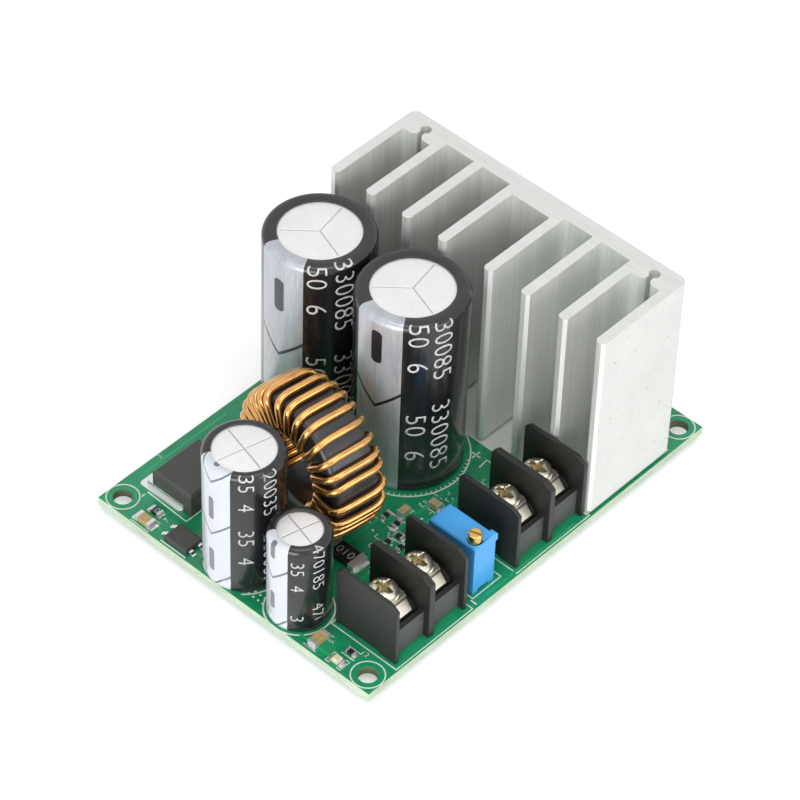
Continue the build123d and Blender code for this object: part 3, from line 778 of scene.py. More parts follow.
class CONVERTER_OT_board(bpy.types.Operator):
    """Dresses the circuit board: solder mask, print, tracks, pads, vias and the joints underneath"""
    bl_idname = "converter.board"
    bl_label = "Board"

    MOUNT_INSET = 2.75
    # How far each capacitor's printed ring lies outside its sleeve, and from where to where it runs
    CAPACITOR_RINGS = (("input", 1.05, -50, 130), ("output", 1.05, 0, 360), ("filter", 0.3, -50, 130),
                       ("small", 0.45, 0, 360))
    # How far each printed box lies outside its part: left, near, right and far
    FRAMES = (("output_terminal_housing", 0.3, 0.6, 0.75, 0.6),
              ("input_terminal_housing", 0.3, 0.6, 0.75, 0.6), ("trimmer_body", 0.5, 0.55, 0.55, 0.6))
    # A plus, a minus, and the corners round the solder bridge beside the input terminal
    MARKS = (((6.3, 9.05), (8.1, 9.05)), ((7.2, 8.15), (7.2, 9.95)), ((27.3, -14.4), (28.5, -14.4)),
             ((10.2, 2.6), (9.6, 4.6), (11.6, 4.6)), ((9.4, 7.4), (9.2, 9.4), (11.0, 9.5)))
    # Middle and half sizes of the corners printed between the small parts
    CORNERS = (
        (9.6, -16.2, 1.3, 0.9), (12.0, -17.2, 0.9, 1.4), (8.4, -14.0, 0.7, 1.0), (14.4, -15.2, 0.8, 0.8),
        (13.2, -9.6, 1.0, 0.8), (14.6, -6.6, 1.2, 0.9), (11.6, -3.2, 1.2, 0.8), (9.0, -0.9, 0.9, 0.9),
        (12.6, 2.6, 1.4, 1.0), (13.0, 6.4, 1.2, 1.2), (11.2, -21.8, 0.9, 1.6), (4.6, -12.6, 0.9, 0.7),
        (9.2, -12.6, 0.5, 0.5), (12.6, -12.8, 0.5, 0.6), (10.4, -9.4, 0.6, 0.5), (7.6, -7.4, 0.5, 0.6),
        (14.0, -9.0, 0.4, 0.7), (8.6, -4.6, 0.6, 0.5), (10.6, -1.0, 0.4, 0.5))
    # Gap between a small part and the lines printed beside it
    OUTLINE_GAP = 0.42
    # Text, place and turn of the small numbers, and their height
    NUMBERS = (
        ("5", 18.2, -35.6, 90), ("12", 22.4, -34.0, 0), ("1", 22.9, -36.0, 90), ("8", 8.9, -4.4, 90),
        ("3", -27.9, -26.4, 90), ("20", 22.9, -19.3, 90), ("14", 7.4, -11.2, 0), ("6", 13.7, -14.2, 90),
        ("11", 10.2, -5.6, 0), ("9", 14.2, -2.2, 0), ("4", -24.6, -34.2, 0), ("7", -17.4, -35.4, 90),
        ("2", 8.6, -19.6, 0), ("15", 12.8, 0.6, 90), ("10", 4.3, -15.4, 90))
    NUMBER_HEIGHT = 0.95
    TRACK_WIDTH = 0.55
    TRACKS = (
        ((-21, -37), (-12, -37), (-9, -34), (-9, -27)), ((-17, -36.6), (-6, -36.6)),
        ((13, -37.5), (22, -37.5)), ((12.4, -24), (12.4, -14), (14.6, -11.5), (14.6, -4)),
        ((9.5, -14.5), (9.5, -9.5), (11.5, -7.5), (11.5, 6)),
        ((7.4, -12), (7.4, -8.5), (9.2, -6.5), (9.2, 3)), ((5.6, -20.0), (5.6, -12), (7.0, -10.4)),
        ((28.2, -12), (28.2, 9)), ((-27.5, -30), (-27.5, -12)), ((12.9, -5), (12.9, 9.5)),
        ((-12.5, -22), (-12.5, -16)))
    VIAS = (
        (2.5, -36.0), (3.5, -36.0), (4.5, -36.0), (2.0, -37.0), (3.0, -37.0), (4.0, -37.0), (5.0, -37.0),
        (11.6, -11.2), (9.6, -8.6), (12.4, -6.2), (13.8, -12.6), (7.6, -9.0), (6.6, -14.2), (9.2, -3.4),
        (8.3, -10.1), (10.6, -12.3), (10.8, -14.5), (12.2, -14.5), (10.4, -7.1), (13.6, -26.5),
        (-6.2, -37.6), (12.6, 9.8), (13.8, 8.2), (10.3, 9.4), (-14.0, -37.4), (14.3, -17.8))
    TEST_PAD = (8.63, -11.56)
    PAD_HEIGHT = 0.07

    def execute(self, context):
        low, high = extent("circuit_board")
        top = high.z

        # Flat faces take the mask, the outer edges the sawn edge, and the walls of the holes a dark colour that
        # is painted shade.
        def choose(place, normal):
            inside = min(place.x - low.x, high.x - place.x, place.y - low.y, high.y - place.y) > 0.3
            return 0 if abs(normal.z) > 0.5 else 2 if inside else 1

        board = bevelled(object_from(copied("circuit_board"), "board_panel"), 0.06, 1, 60)
        painted(board, ("board_mask", "board_edge", "shaded_hole_wall"), choose)
        ready(board, "board_mask", "circuit_board")
        self.add_print(top, low, high)
        self.add_numbers(top)
        self.add_field(top)
        self.add_copper(top)
        self.add_pads(top)
        self.add_joints()
        return {"FINISHED"}

    def add_lines(self, name, paths, level, width, height, finish):
        lines = lines_object(name, paths, level)
        grown(lines, "flat_line", {"Width": width, "Height": height, "Material": finishes[finish]})
        ready(lines, "board_mask")

    def add_print(self, top, low, high):
        s = sizes()
        inset = self.MOUNT_INSET
        rings = [arc(x, y, s.mount_ring / MM - 0.35) for x in (low.x + inset, high.x - inset)
                 for y in (low.y + inset, high.y - inset)]
        lines, fine = list(self.MARKS), []
        for name, outside, start, end in self.CAPACITOR_RINGS:
            a, b = extent(name + "_capacitor_sleeve")
            lines.append(arc((a.x + b.x) / 2, (a.y + b.y) / 2, (b.x - a.x) / 2 + outside, start, end))
        for name, left, near, right, far in self.FRAMES:
            a, b = extent(name)
            x0, y0, x1, y1 = a.x - left, a.y - near, b.x + right, b.y + far
            lines.append([(x0, y0), (x1, y0), (x1, y1), (x0, y1), (x0, y0)])
        a, b = extent("power_package_body")
        lines.append([(a.x - 0.2, a.y - 0.9), (b.x + 0.1, a.y - 1.2), (b.x + 0.05, a.y + 2.3)])
        a, b = extent("flat_chip_body")
        lines.append([(a.x - 0.3, a.y - 0.35), (b.x + 0.3, a.y - 0.35)])
        # short strokes round the output capacitor
        centre = middle("output_capacitor_sleeve")
        for i in range(26):
            angle = math.radians(-94 + 5 * i)
            fine.append([(centre.x + r * math.cos(angle), centre.y + r * math.sin(angle)) for r in (9.6, 10.1)])
        # brackets at both ends of the indicator light
        a, b = extent("indicator_led")
        for end, back in ((a.x - 0.55, 0.8), (b.x + 0.55, -0.8)):
            fine.append([(end + back, b.y + 0.4), (end, b.y + 0.4), (end, a.y - 0.35),
                         (end + back, a.y - 0.35)])
        for x, y, wide, deep in self.CORNERS:
            fine.append([(x - wide, y - deep), (x + wide, y - deep)])
            fine.append([(x - wide, y - deep), (x - wide, y - deep * 0.2)])
            fine.append([(x + wide, y + deep * 0.4), (x + wide, y + deep), (x + wide * 0.3, y + deep)])
        gap = self.OUTLINE_GAP
        for node in ("small_ceramic_capacitors", "large_ceramic_capacitors", "chip_resistors"):
            for a, b in boxes(node):
                fine += [[(a.x - gap, y), (b.x + gap, y)] for y in (a.y - gap, b.y + gap)]
        for name, paths, width, rise in (("board_print", lines, 1.0, 1.0), ("board_rings", rings, 0.8, 1.0),
                                         ("board_fine_print", fine, 0.55, 0.9)):
            self.add_lines(name, paths, top + s.silk_height / MM / 2, s.silk_width * width,
                           s.silk_height * rise, "silk_print")

    def add_numbers(self, top):
        """Small plain numbers beside the parts."""
        pieces = []
        for text, x, y, turn in self.NUMBERS:
            bm = digit_mesh(text, self.NUMBER_HEIGHT)
            raised(bm, sizes().silk_height / MM)
            bmesh.ops.transform(bm, matrix=upright(x, y, top - 0.004, turn), verts=bm.verts)
            bmesh.ops.recalc_face_normals(bm, faces=bm.faces)
            pieces.append(object_from(bm, "number"))
        ready(joined(pieces, "board_numbers"), "board_mask", finish="silk_print")

    def add_field(self, top):
        """The white printed field that the heatsink stands over."""
        a, b = extent("heatsink")
        field = block("heatsink_field", (a.x + 0.2, a.y - 0.1, top - 0.02),
                      (b.x - 0.4, b.y, top + sizes().silk_height / MM * 0.8))
        ready(field, "board_mask", finish="silk_print")

    def add_copper(self, top):
        """Tracks under the mask, and the vias."""
        rise = sizes().track_height
        self.add_lines("board_tracks", self.TRACKS, top + rise / MM * 0.5 - SUNK, self.TRACK_WIDTH * MM,
                       rise, "copper_track")
        disc = turned("via_shape", [(0.0, 0.0), (1.0, 0.0), (1.0, 0.6), (0.82, 1.0), (0.0, 1.0)],
                      even_angles(16))
        places = [((x, y, top - SUNK), (0.22, 0.22, 0.045)) for x, y in self.VIAS]
        places.append(((*self.TEST_PAD, top - SUNK), (0.75, 0.75, 0.05)))
        ready(repeated("board_vias", disc, places, "silk_print"), "board_mask")

    def add_pads(self, top):
        """Solder at both ends of every two-ended part, and under the power package."""
        pad = bevelled(block("pad_shape", (-0.5, -0.5, 0), (0.5, 0.5, 1)), 0.06)
        places = []
        for node in ("chip_resistors", "small_ceramic_capacitors", "large_ceramic_capacitors",
                     "large_chip_resistor", "shunt_resistor", "indicator_led"):
            for a, b in boxes(node):
                size = b - a
                along = 0 if size.x > size.y else 1
                scale = [0, 0, self.PAD_HEIGHT]
                scale[along] = min(1.2, size[along] * 0.4)
                scale[1 - along] = size[1 - along] + 0.1
                for end in (a, b):
                    place = (a + b) / 2
                    place[along], place.z = end[along], top - SUNK
                    places.append((place, scale))
        a, b = extent("power_package_tab_and_leads")
        y, z = (a.y + b.y) / 2, top - SUNK
        places.append(((a.x + 3.55, y, z), (9.1, b.y - a.y + 1.06, self.PAD_HEIGHT)))
        places += [((b.x - 0.2, y + dy, z), (3.0, 2.2, self.PAD_HEIGHT)) for dy in (-2.54, 2.54)]
        ready(repeated("solder_pads", pad, places, "solder"), "solder")

    def add_joints(self):
        """A round solder bead where every lead comes out underneath."""
        bead = turned("bead_shape", [
            (0.0, 0.02), (1.0, 0.02), (0.98, -0.10), (0.80, -0.38), (0.55, -0.66), (0.38, -0.86),
            (0.2, -0.97), (0.0, -1.0)], even_angles(20))
        places = []
        for a, b in boxes("solder_joints"):
            radius = (b.x - a.x) / 2
            places.append((((a.x + b.x) / 2, (a.y + b.y) / 2, 0.0), (radius, radius, -a.z)))
        ready(repeated("solder_beads", bead, places, "solder", 50), "solder", "solder_joints")


class CONVERTER_OT_heatsink(bpy.types.Operator):
    """Dresses the heatsink, its pins and the two power devices on its back"""
    bl_idname = "converter.heatsink"
    bl_label = "Heatsink"

    def execute(self, context):
        low, high = extent("heatsink")

        def choose(place, normal):
            side = abs(normal.x) > 0.5 and (place.x < low.x + 0.2 or place.x > high.x - 0.2)
            return 1 if abs(normal.z) > 0.8 else 2 if side else 0

        sink = painted(dressed("heatsink", 0.14), ("mill_aluminium", "sawn_aluminium", "side_aluminium"),
                       choose)
        ready(sink, "mill_aluminium", "heatsink")
        kept_shape("heatsink_pins", 0.1, "tinned_lead")
        for device in ("switch_transistor", "rectifier_diode"):
            kept_shape(device + "_body", 0.2, "chip_black")
            kept_shape(device + "_leads", 0.08, "tinned_lead")
        kept_shape("device_screws", 0.15, "steel_screw")
        return {"FINISHED"}


class CONVERTER_OT_capacitors(bpy.types.Operator):
    """Makes the four capacitors: scored cans, printed sleeves and leads"""
    bl_idname = "converter.capacitors"
    bl_label = "Capacitors"

    # The print is counted along the sleeve from its opening, from this much short of the lip's width
    PRINT_START = 0.43
    # Height of the sleeve's foot that carries no digits
    BARE_FOOT = 2.6
    # The sleeve from its wall down round its foot and up inside: in from the wall, up from the bottom
    FOOT = ((0.0, 2.2), (0.16, 1.7), (0.02, 1.2), (0.0, 0.5), (0.25, 0.0), (1.2, 0.0), (0.55, 0.4), (0.36, 1.0))

    def execute(self, context):
        silver, pale, grey = (0.50, 0.53, 0.57), (0.70, 0.74, 0.79), (0.17, 0.19, 0.22)
        three, four = (221.4, 101.4, 341.4), (-14.5, 75.5, 165.5, 255.5)
        # Name, lip, the stripe's angle and width, the scored rays, the digits' height, the stripe's
        # colour, ink, first bar, first chevron and period, and every word with its angle and start
        self.make("input_capacitor", 2.4, -90.0, 8.7, three, 3.3,
                  (silver, (0.06, 0.065, 0.07), 7.6, 20.3, 25.2),
                  ((-49.0, -0.9, "50  6"), (-49.0, 18.3, "50  6"),
                   (-20.6, -1.6, "330085"), (-20.6, 18.0, "330085")))
        self.make("output_capacitor", 2.4, -83.9, 8.6, three, 3.3,
                  (silver, (0.02, 0.02, 0.025), 5.7, 18.3, 25.2),
                  ((-41.1, -0.9, "50  6"), (-41.1, 18.3, "50  6"),
                   (-15.1, -0.7, "30085"), (-15.1, 16.5, "330085")))
        self.make("filter_capacitor", 1.5, -95.7, 7.05, four, 2.5, (pale, grey, 8.6, 3.0, 11.3),
                  ((-43.1, -0.8, "35  4"), (-43.1, 11.0, "35  4"),
                   (-8.6, -0.5, "20035"), (-8.6, 12.5, "220035")))
        self.make("small_capacitor", 1.45, -100.0, 5.7, four, 2.1, (pale, grey, 12.5, 7.6, 11.0),
                  ((-50.2, 2.0, "35  4"), (-50.2, 13.8, "35"),
                   (-11.1, -0.8, "470185"), (-11.1, 11.8, "4701")))
        return {"FINISHED"}

    def make(self, name, lip, stripe, stripe_width, rays, digit_height, marks, words):
        low, high = extent(name + "_sleeve")
        radius, bottom, top = (high.x - low.x) / 2, low.z, high.z
        centre = Vector(((low.x + high.x) / 2, (low.y + high.y) / 2, 0))
        opening = radius - lip
        shoulder = sizes().sleeve_shoulder / MM
        turn, half = math.radians(stripe), stripe_width / 2 / radius
        edges = [turn - half, turn + half]
        angles = [a for a in even_angles(96, turn - math.pi) if min(abs(a - e) for e in edges) > 0.02]
        profile = [(opening, top - 0.05), (opening + 0.12, top)]
        profile += arc(radius - shoulder, top - shoulder, shoulder, 90, 0, 8)
        profile += [(radius - inset, bottom + rise) for inset, rise in self.FOOT]
        profile += [(radius - 0.36, top - 1.1), (radius - 0.6, top - 0.5), (opening, top - 0.3)]
        place = Matrix.Translation(centre)
        sleeve = smoothed(turned(name + "_wrap", profile, sorted(angles + edges), place, turn, radius), 40)

        def choose(point, normal):
            angle = math.atan2(point.y - centre.y, point.x - centre.x)
            return 1 if abs((angle - turn + math.pi) % (2 * math.pi) - math.pi) < half else 0

        painted(sleeve, ("black_sleeve", self.stripe_finish(name, marks, radius, lip)), choose)
        ready(sleeve, "black_sleeve", name + "_sleeve")

        can = turned(name + "_shell", [
            (0.0, top - 0.18), (opening * 0.5, top - 0.19), (opening - 0.3, top - 0.24),
            (opening + 0.3, top - 0.34), (radius - 0.7, top - 0.6), (radius - 0.4, top - 1.2),
            (radius - 0.4, bottom + 0.9), (radius - 0.9, bottom + 0.35), (radius - 1.5, bottom + 0.3),
            (0.0, bottom + 0.3)], even_angles(72), place)
        ready(smoothed(can, 40), "can_aluminium", name + "_can",
              finish=self.can_finish(name, centre, rays, opening))
        kept_shape(name + "_leads", 0.08, "tinned_lead")

        pieces = [self.digits(text, digit_height, math.radians(angle), start, lip, radius, top, bottom, centre)
                  for angle, start, text in words]
        ready(joined(pieces, name + "_digits"), "black_sleeve", finish="sleeve_digits")

    def stripe_finish(self, name, marks, radius, lip):
        """The pale stripe with its minus bars and chevrons, by the sleeve's unrolled map."""
        base, ink, first_bar, first_chevron, period = marks
        big = radius > 8
        half_width, half_length = (1.0, 3.3) if big else (0.58, 2.35) if radius > 6 else (0.52, 1.8)
        slope = 3.9 / 4.35 if big else 1.0
        paint = Finish(name + "_stripe", base, 0.3, vary=0.22 if big else 0.05, scale=3.2, depth=0.004,
                       stretch=(1.0, 1.0, 0.10), rough_vary=0.05, coat=0.2, metallic=0.3 if big else 0.1)
        tree = paint.tree
        across, along, _ = tree.split(tree.value("ShaderNodeUVMap", uv_map="unrolled"))
        along = along - (lip - self.PRINT_START)
        bar_along, vee = (tree.math("WRAP", way - first, -period / 2, period / 2) for way, first in (
            (along, first_bar), (along + abs(across) * slope, first_chevron)))
        bar = tree.value("ShaderNodeGroup", {
            "Across": across, "Along": bar_along, "Half Width": half_width, "Half Length": half_length,
            "Corner": half_width * 0.8, "Soft": 0.08}, node_tree=node_group("slab_mask"))
        line = tree.math("SUBTRACT", 1.0, (abs(vee) - (0.30 if big else 0.20)) / 0.08, clamp=True)
        paint.paint(tree.math("MAXIMUM", bar, line), ink, 0.35)
        return paint.done()

    def can_finish(self, name, centre, rays, opening):
        """Drawn aluminium with scored vent lines on its end: pressed in, and darkened with painted shade."""
        shell = Finish(name + "_aluminium", (0.87, 0.865, 0.865), 0.42, metallic=0.55, vary=0.05, scale=1.4,
                       depth=0.006)
        tree = shell.tree
        place = tree.vector("SUBTRACT", tree.millimetres(), tuple(centre))
        lines = [tree.value("ShaderNodeGroup", {
            "Place": place, "Angle": math.radians(angle), "Reach": opening * 0.93, "Half Width": 0.16},
            node_tree=node_group("scored_ray")) for angle in rays]
        mask = lines[0]
        for line in lines[1:]:
            mask = tree.math("MAXIMUM", mask, line)
        # painted shade: the scored lines are darker as well as pressed in
        shell.paint(mask * 0.6, (0.45, 0.46, 0.48))
        shell.press(mask, 0.12)
        return shell.done()

    def digits(self, text, height, angle, start, lip, radius, top, bottom, centre):
        """A word of digits wrapped on the sleeve, reading downward from the rim."""
        bm = digit_mesh(text, height)
        for x, side in ((self.PRINT_START + 0.1 - lip - start, -1), (top - bottom - self.BARE_FOOT - start, 1)):
            geometry = bm.verts[:] + bm.edges[:] + bm.faces[:]
            bmesh.ops.bisect_plane(bm, geom=geometry, dist=1e-5, plane_co=(x, 0, 0), plane_no=(side, 0, 0),
                                   clear_outer=True)
        sliced(bm, 1, 0.6)
        if start < 2.5:
            sliced(bm, 0, 0.4)
        bmesh.ops.recalc_face_normals(bm, faces=bm.faces)
        raised(bm, sizes().print_lift / MM)
        shoulder = sizes().sleeve_shoulder / MM
        flat, bend = radius - shoulder, shoulder * math.pi / 2
        for vert in bm.verts:
            out = vert.co.z + 0.004
            turn = angle + (vert.co.y - height / 2) / radius
            # the start is measured from the middle of the rim's curve
            walk = vert.co.x + start + bend / 2
            if walk < 0:
                r, z = flat + walk, top + out
            elif walk < bend:
                tilt = walk / shoulder
                r = flat + (shoulder + out) * math.sin(tilt)
                z = top - shoulder + (shoulder + out) * math.cos(tilt)
            else:
                r, z = radius + out, top - shoulder - (walk - bend)
            vert.co = (centre.x + r * math.cos(turn), centre.y + r * math.sin(turn), z)
        bmesh.ops.recalc_face_normals(bm, faces=bm.faces)
        return object_from(bm, "digits")


class CONVERTER_OT_choke(bpy.types.Operator):
    """Makes the ring choke: a coated core and a winding of thick enamelled wire"""
    bl_idname = "converter.choke"
    bl_label = "Choke"

    CORE_RADIUS, CORE_BORE, CORE_HALF, CORE_EDGE = 12.0, 7.0, 4.2, 0.9
    # How far the ring is turned from the board's edges, in degrees
    YAW = -10.0
    # Where the first turn lies on the ring, and the step to the next, in degrees
    START, STEP = -54.0, 12.0
    TURNS, TURN_STEPS, WIRE_SIDES = 24, 40, 14
    # Middle and half sizes of the loop that every turn makes
    LOOP_RADIUS, LOOP_HALF_DEPTH, LOOP_HALF_WIDTH = 9.5, 3.18, 4.88
    # The lower, the squarer the loop
    LOOP_CORNER = 0.45
    # How far each turn leans from its even place, in degrees
    LEANS = (0, 1, -1, 0, -6, -2, 4, 1, 1, 3, 4, 3, 3, 3, 7, 3, 1, -1, 0, 1, 2, 0, -1, 0, 0)
    # Radius at which the ends run, how far they reach to the side, the radius of their bend, and how
    # far they go down
    END_RADIUS, END_REACH, END_BEND, END_LOW = 12.68, 3.78, 1.1, -0.6

    def execute(self, context):
        core_middle = middle("choke_core")
        turn = upright(*core_middle, self.YAW)
        edge, high = self.CORE_EDGE, self.CORE_HALF - self.CORE_EDGE
        outer, inner = self.CORE_RADIUS - edge, self.CORE_BORE + edge
        profile = []
        for x, y, start in ((outer, high, 90), (outer, -high, 0), (inner, -high, -90), (inner, high, 180)):
            profile += arc(x, y, edge, start, start - 90, 4)
        lying = Matrix.Rotation(math.radians(-90.0), 4, "X")
        core = turned("choke_ring", profile, even_angles(72), turn @ lying)
        ready(smoothed(core, 40), "core_coating", "choke_core")

        wire = {"Radius": sizes().wire_radius, "Sides": self.WIRE_SIDES, "Material": finishes["enamelled_wire"]}
        bm = bmesh.new()
        for i in range(len(self.LEANS)):
            bm.verts.new((i, 0, 0))
        source = object_from(bm, "choke_wire")
        sway = source.data.attributes.new("sway", "FLOAT", "POINT")
        for i, lean in enumerate(self.LEANS):
            sway.data[i].value = math.radians(lean * sizes().wire_spread)
        grown(source, "ring_winding", {
            "Turns": float(self.TURNS), "Steps": self.TURN_STEPS, "Start": math.radians(self.START),
            "Step": math.radians(self.STEP), "Ring Radius": self.LOOP_RADIUS * MM,
            "Half Depth": self.LOOP_HALF_DEPTH * MM, "Half Width": self.LOOP_HALF_WIDTH * MM,
            "Corner": self.LOOP_CORNER, **wire})
        source.data.transform(upright(*(core_middle * MM), self.YAW))
        pieces = [source]
        last = self.START + self.STEP * self.TURNS
        for angle, shift, side in ((self.START, 0.0, -1), (last, 2.0, 1)):
            end = lines_object("wire_end", [self.end_path(turn, angle, shift, side)])
            pieces.append(grown(end, "wire_tube", wire))
        winding = joined(pieces, "choke_wire_wound", outward=True)
        ready(smoothed(winding, 60), "enamelled_wire", "choke_winding")
        return {"FINISHED"}

    def end_path(self, turn, angle, shift, side):
        """Over the rim to one side of the ring, round a bend and down through the board."""
        path = []
        bend, reach, radius = self.END_BEND, self.END_REACH, self.END_RADIUS
        for along, down in [(0.0, 0.0), (1.3, 0.0)] + arc(reach - bend, bend, bend, -90, 0, 4):
            at = math.radians(angle + shift * along / reach)
            path.append(turn @ Vector((radius * math.cos(at), side * along, radius * math.sin(at))) - UP * down)
        foot = path[-1]
        return path + [Vector((foot.x, foot.y, extent("circuit_board")[1].z)),
                       Vector((foot.x, foot.y, self.END_LOW))]


class CONVERTER_OT_terminals(bpy.types.Operator):
    """Dresses the screw terminals: housings, contacts, clamp plates and their screws"""
    bl_idname = "converter.terminals"
    bl_label = "Terminals"

    # From a housing's back to the front of its block
    BLOCK_DEPTH = 11.2
    HEAD_HEIGHT = 1.7
    # The head below its top, as a share of its radius, and the washer under it, out from the radius
    DOME = ((0.6, 0.02), (0.8, 0.1), (0.92, 0.25), (0.985, 0.48), (1.0, 0.75))
    WASHER = ((0.0, 0.62), (-0.22, 0.46), (-0.22, 0.38), (0.12, 0.36), (0.15, 0.08), (0.05, 0.0))
    SHANK_RADIUS, THREAD_DEPTH, PITCH = 1.25, 0.18, 0.45
    # Angle, width, reach and depth of the cuts in a head: a cross, and a longer slot over it
    CUTS = ((0, 0.85, 1.5, 0.75), (90, 0.85, 1.5, 0.75), (0, 0.7, 2.6, 0.45))

    def execute(self, context):
        for side in ("output", "input"):
            housing = side + "_terminal_housing"
            front = extent(housing)[0].x + self.BLOCK_DEPTH
            # The front face of each block takes the lighter ribbed moulding: painted light on that side, over
            # the real ribbing.
            dress = painted(dressed(housing, 0.14), ("black_moulding", "ribbed_moulding_lit"),
                            lambda place, normal: int(normal.x > 0.9 and abs(place.x - front) < 0.3))
            ready(dress, "black_moulding", housing)
            kept_shape(side + "_terminal_contacts", 0.07, "nickel_plate")
            for pole in ("negative", "positive"):
                self.make_plate(f"{side}_{pole}")
                self.make_screw(f"{side}_{pole}")
        return {"FINISHED"}

    def make_plate(self, node):
        """The clamp plate with its turned-up lip in front of the washer."""
        low, high = extent(node + "_clamp_plate")
        lip = block("lip", (high.x - 0.08, low.y + 0.5, low.z + 0.12),
                    (high.x + 0.3, high.y - 0.5, high.z + 0.3))
        plate = joined([dressed(node + "_clamp_plate", 0.12), bevelled(lip, 0.1)], node + "_plate")
        ready(plate, "nickel_plate", node + "_clamp_plate", body=node + "_clamp")

    def make_screw(self, node):
        """A pan head with a cross and a slot, and a fine thread on its shank."""
        low, high = extent(node + "_screw")
        centre, radius, top = (low + high) / 2, (high.x - low.x) / 2, high.z
        under = top - self.HEAD_HEIGHT
        shank, core = self.SHANK_RADIUS, self.SHANK_RADIUS - self.THREAD_DEPTH
        profile = [(0.0, top)] + [(radius * wide, top - down) for wide, down in self.DOME]
        profile += [(radius + out, under + up) for out, up in self.WASHER] + [(core, under)]
        z = under
        while z - self.PITCH > low.z + 0.3:
            profile += [(core, z - 0.06), (shank, z - self.PITCH * 0.5), (core, z - self.PITCH + 0.06)]
            z -= self.PITCH
        profile += [(shank - 0.25, low.z + 0.05), (0.0, low.z)]
        screw = turned(node + "_screw_turned", profile, even_angles(32), upright(centre.x, centre.y))
        subtract(screw, [
            block("recess", (-wide / 2, -reach, top - deep), (wide / 2, reach, top + 1),
                  upright(centre.x, centre.y, 0.0, angle)) for angle, wide, reach, deep in self.CUTS])
        smoothed(bevelled(screw, 0.05, 1, 50), 40)

        # The faces inside the cross and the slot take a darker colour: painted shade in the recesses.
        def choose(place, normal):
            off = math.hypot(place.x - centre.x, place.y - centre.y)
            return int(top - 1.2 < place.z < top - 0.1 and off < radius - 0.6)

        painted(screw, ("nickel_plate", "screw_recess_shade"), choose)
        ready(screw, "nickel_plate", node + "_screw", body=node + "_screw")


class CONVERTER_OT_trimmer(bpy.types.Operator):
    """Dresses the trimmer, its brass adjusting screw and its pins"""
    bl_idname = "converter.trimmer"
    bl_label = "Trimmer"

    # Half width, half length and depth of the screw's slot, and its turn from the body's edges
    SLOT, SLOT_TURN = (0.2, 2.0, 0.45), -70.0

    def execute(self, context):
        kept_shape("trimmer_body", 0.1, "blue_plastic")
        self.make_screw()
        kept_shape("trimmer_pins", 0.06, "tinned_lead")
        return {"FINISHED"}

    def make_screw(self):
        """The brass screw with its narrow slot."""
        low, high = extent("trimmer_screw")
        centre, radius, top = (low + high) / 2, (high.x - low.x) / 2, high.z
        profile = [(0.0, top), (radius - 0.14, top), (radius, top - 0.14), (radius, low.z), (0.0, low.z)]
        screw = turned("trimmer_screw_turned", profile, even_angles(40), upright(centre.x, centre.y))
        wide, reach, deep = self.SLOT
        subtract(screw, [block("slot", (-wide, -reach, top - deep), (wide, reach, top + 1),
                               upright(centre.x, centre.y, 0.0, self.SLOT_TURN))])
        ready(bevelled(screw, 0.04, 1), "brass", "trimmer_screw", body="trimmer_screw")


class CONVERTER_OT_packages(bpy.types.Operator):
    """Dresses the power package and the two small chips on the board"""
    bl_idname = "converter.packages"
    bl_label = "Packages"

    def execute(self, context):
        for node, width in (("power_package_body", 0.2), ("flat_chip_body", 0.12), ("control_chip_body", 0.12)):
            self.add_dimpled(node, width)
        for node in ("power_package_tab_and_leads", "flat_chip_leads", "control_chip_leads"):
            kept_shape(node, 0.05, "tinned_lead")
        return {"FINISHED"}

    def add_dimpled(self, node, width):
        """A moulded body with the small round mark of its first lead."""
        low, high = extent(node)
        radius = min(0.55, (high.x - low.x) * 0.1)
        dimple = turned("dimple", [(0.0, -0.08), (radius, -0.08), (radius * 1.1, 0.3), (0.0, 0.3)],
                        even_angles(20), upright(low.x + radius * 2.6, low.y + radius * 2.6, high.z))
        body = subtract(object_from(copied(node), node + "_dressed"), [dimple])
        ready(bevelled(body, width), "chip_black", node)


class CONVERTER_OT_surface_parts(bpy.types.Operator):
    """Makes the two-ended surface parts and the indicator light"""
    bl_idname = "converter.surface_parts"
    bl_label = "Surface parts"

    # Node, finish, and how much of its length each plated end takes
    PARTS = (("shunt_resistor", "resistor_black", 0.16), ("large_chip_resistor", "resistor_black", 0.22),
             ("chip_resistors", "resistor_black", 0.22), ("large_ceramic_capacitors", "ceramic_tan", 0.22),
             ("small_ceramic_capacitors", "ceramic_tan", 0.24), ("indicator_led", "led_clear", 0.2))

    def execute(self, context):
        for node, slot, end_share in self.PARTS:
            self.add_bricks(node, slot, end_share)
        self.add_digits("shunt_resistor", "010", 1.5)
        self.add_digits("large_chip_resistor", "103", 1.1)
        return {"FINISHED"}

    def add_digits(self, node, text, height):
        """Plain digits printed on the top of a resistor."""
        centre, top = middle(node), extent(node)[1].z
        bm = digit_mesh(text, height)
        width = max(v.co.x for v in bm.verts) - min(v.co.x for v in bm.verts)
        raised(bm, 0.02)
        for vert in bm.verts:
            vert.co += Vector((centre.x - width / 2, centre.y - height / 2, top - 0.003))
        bmesh.ops.recalc_face_normals(bm, faces=bm.faces)
        ready(object_from(bm, node + "_digits"), "resistor_black", finish="sleeve_digits")

    def add_bricks(self, node, slot, end_share):
        """A node's bricks with their plated ends, told by how far along each face lies."""
        bricks = boxes(node)

        def choose(place, normal):
            low, high = min(bricks, key=lambda box: ((box[0] + box[1]) / 2 - place).length)
            size = high - low
            along = 0 if size.x > size.y else 1
            part = (place[along] - low[along]) / size[along]
            return int(min(part, 1 - part) < end_share)

        ready(painted(dressed(node, 0.07), (slot, "resistor_ends"), choose), slot, node)


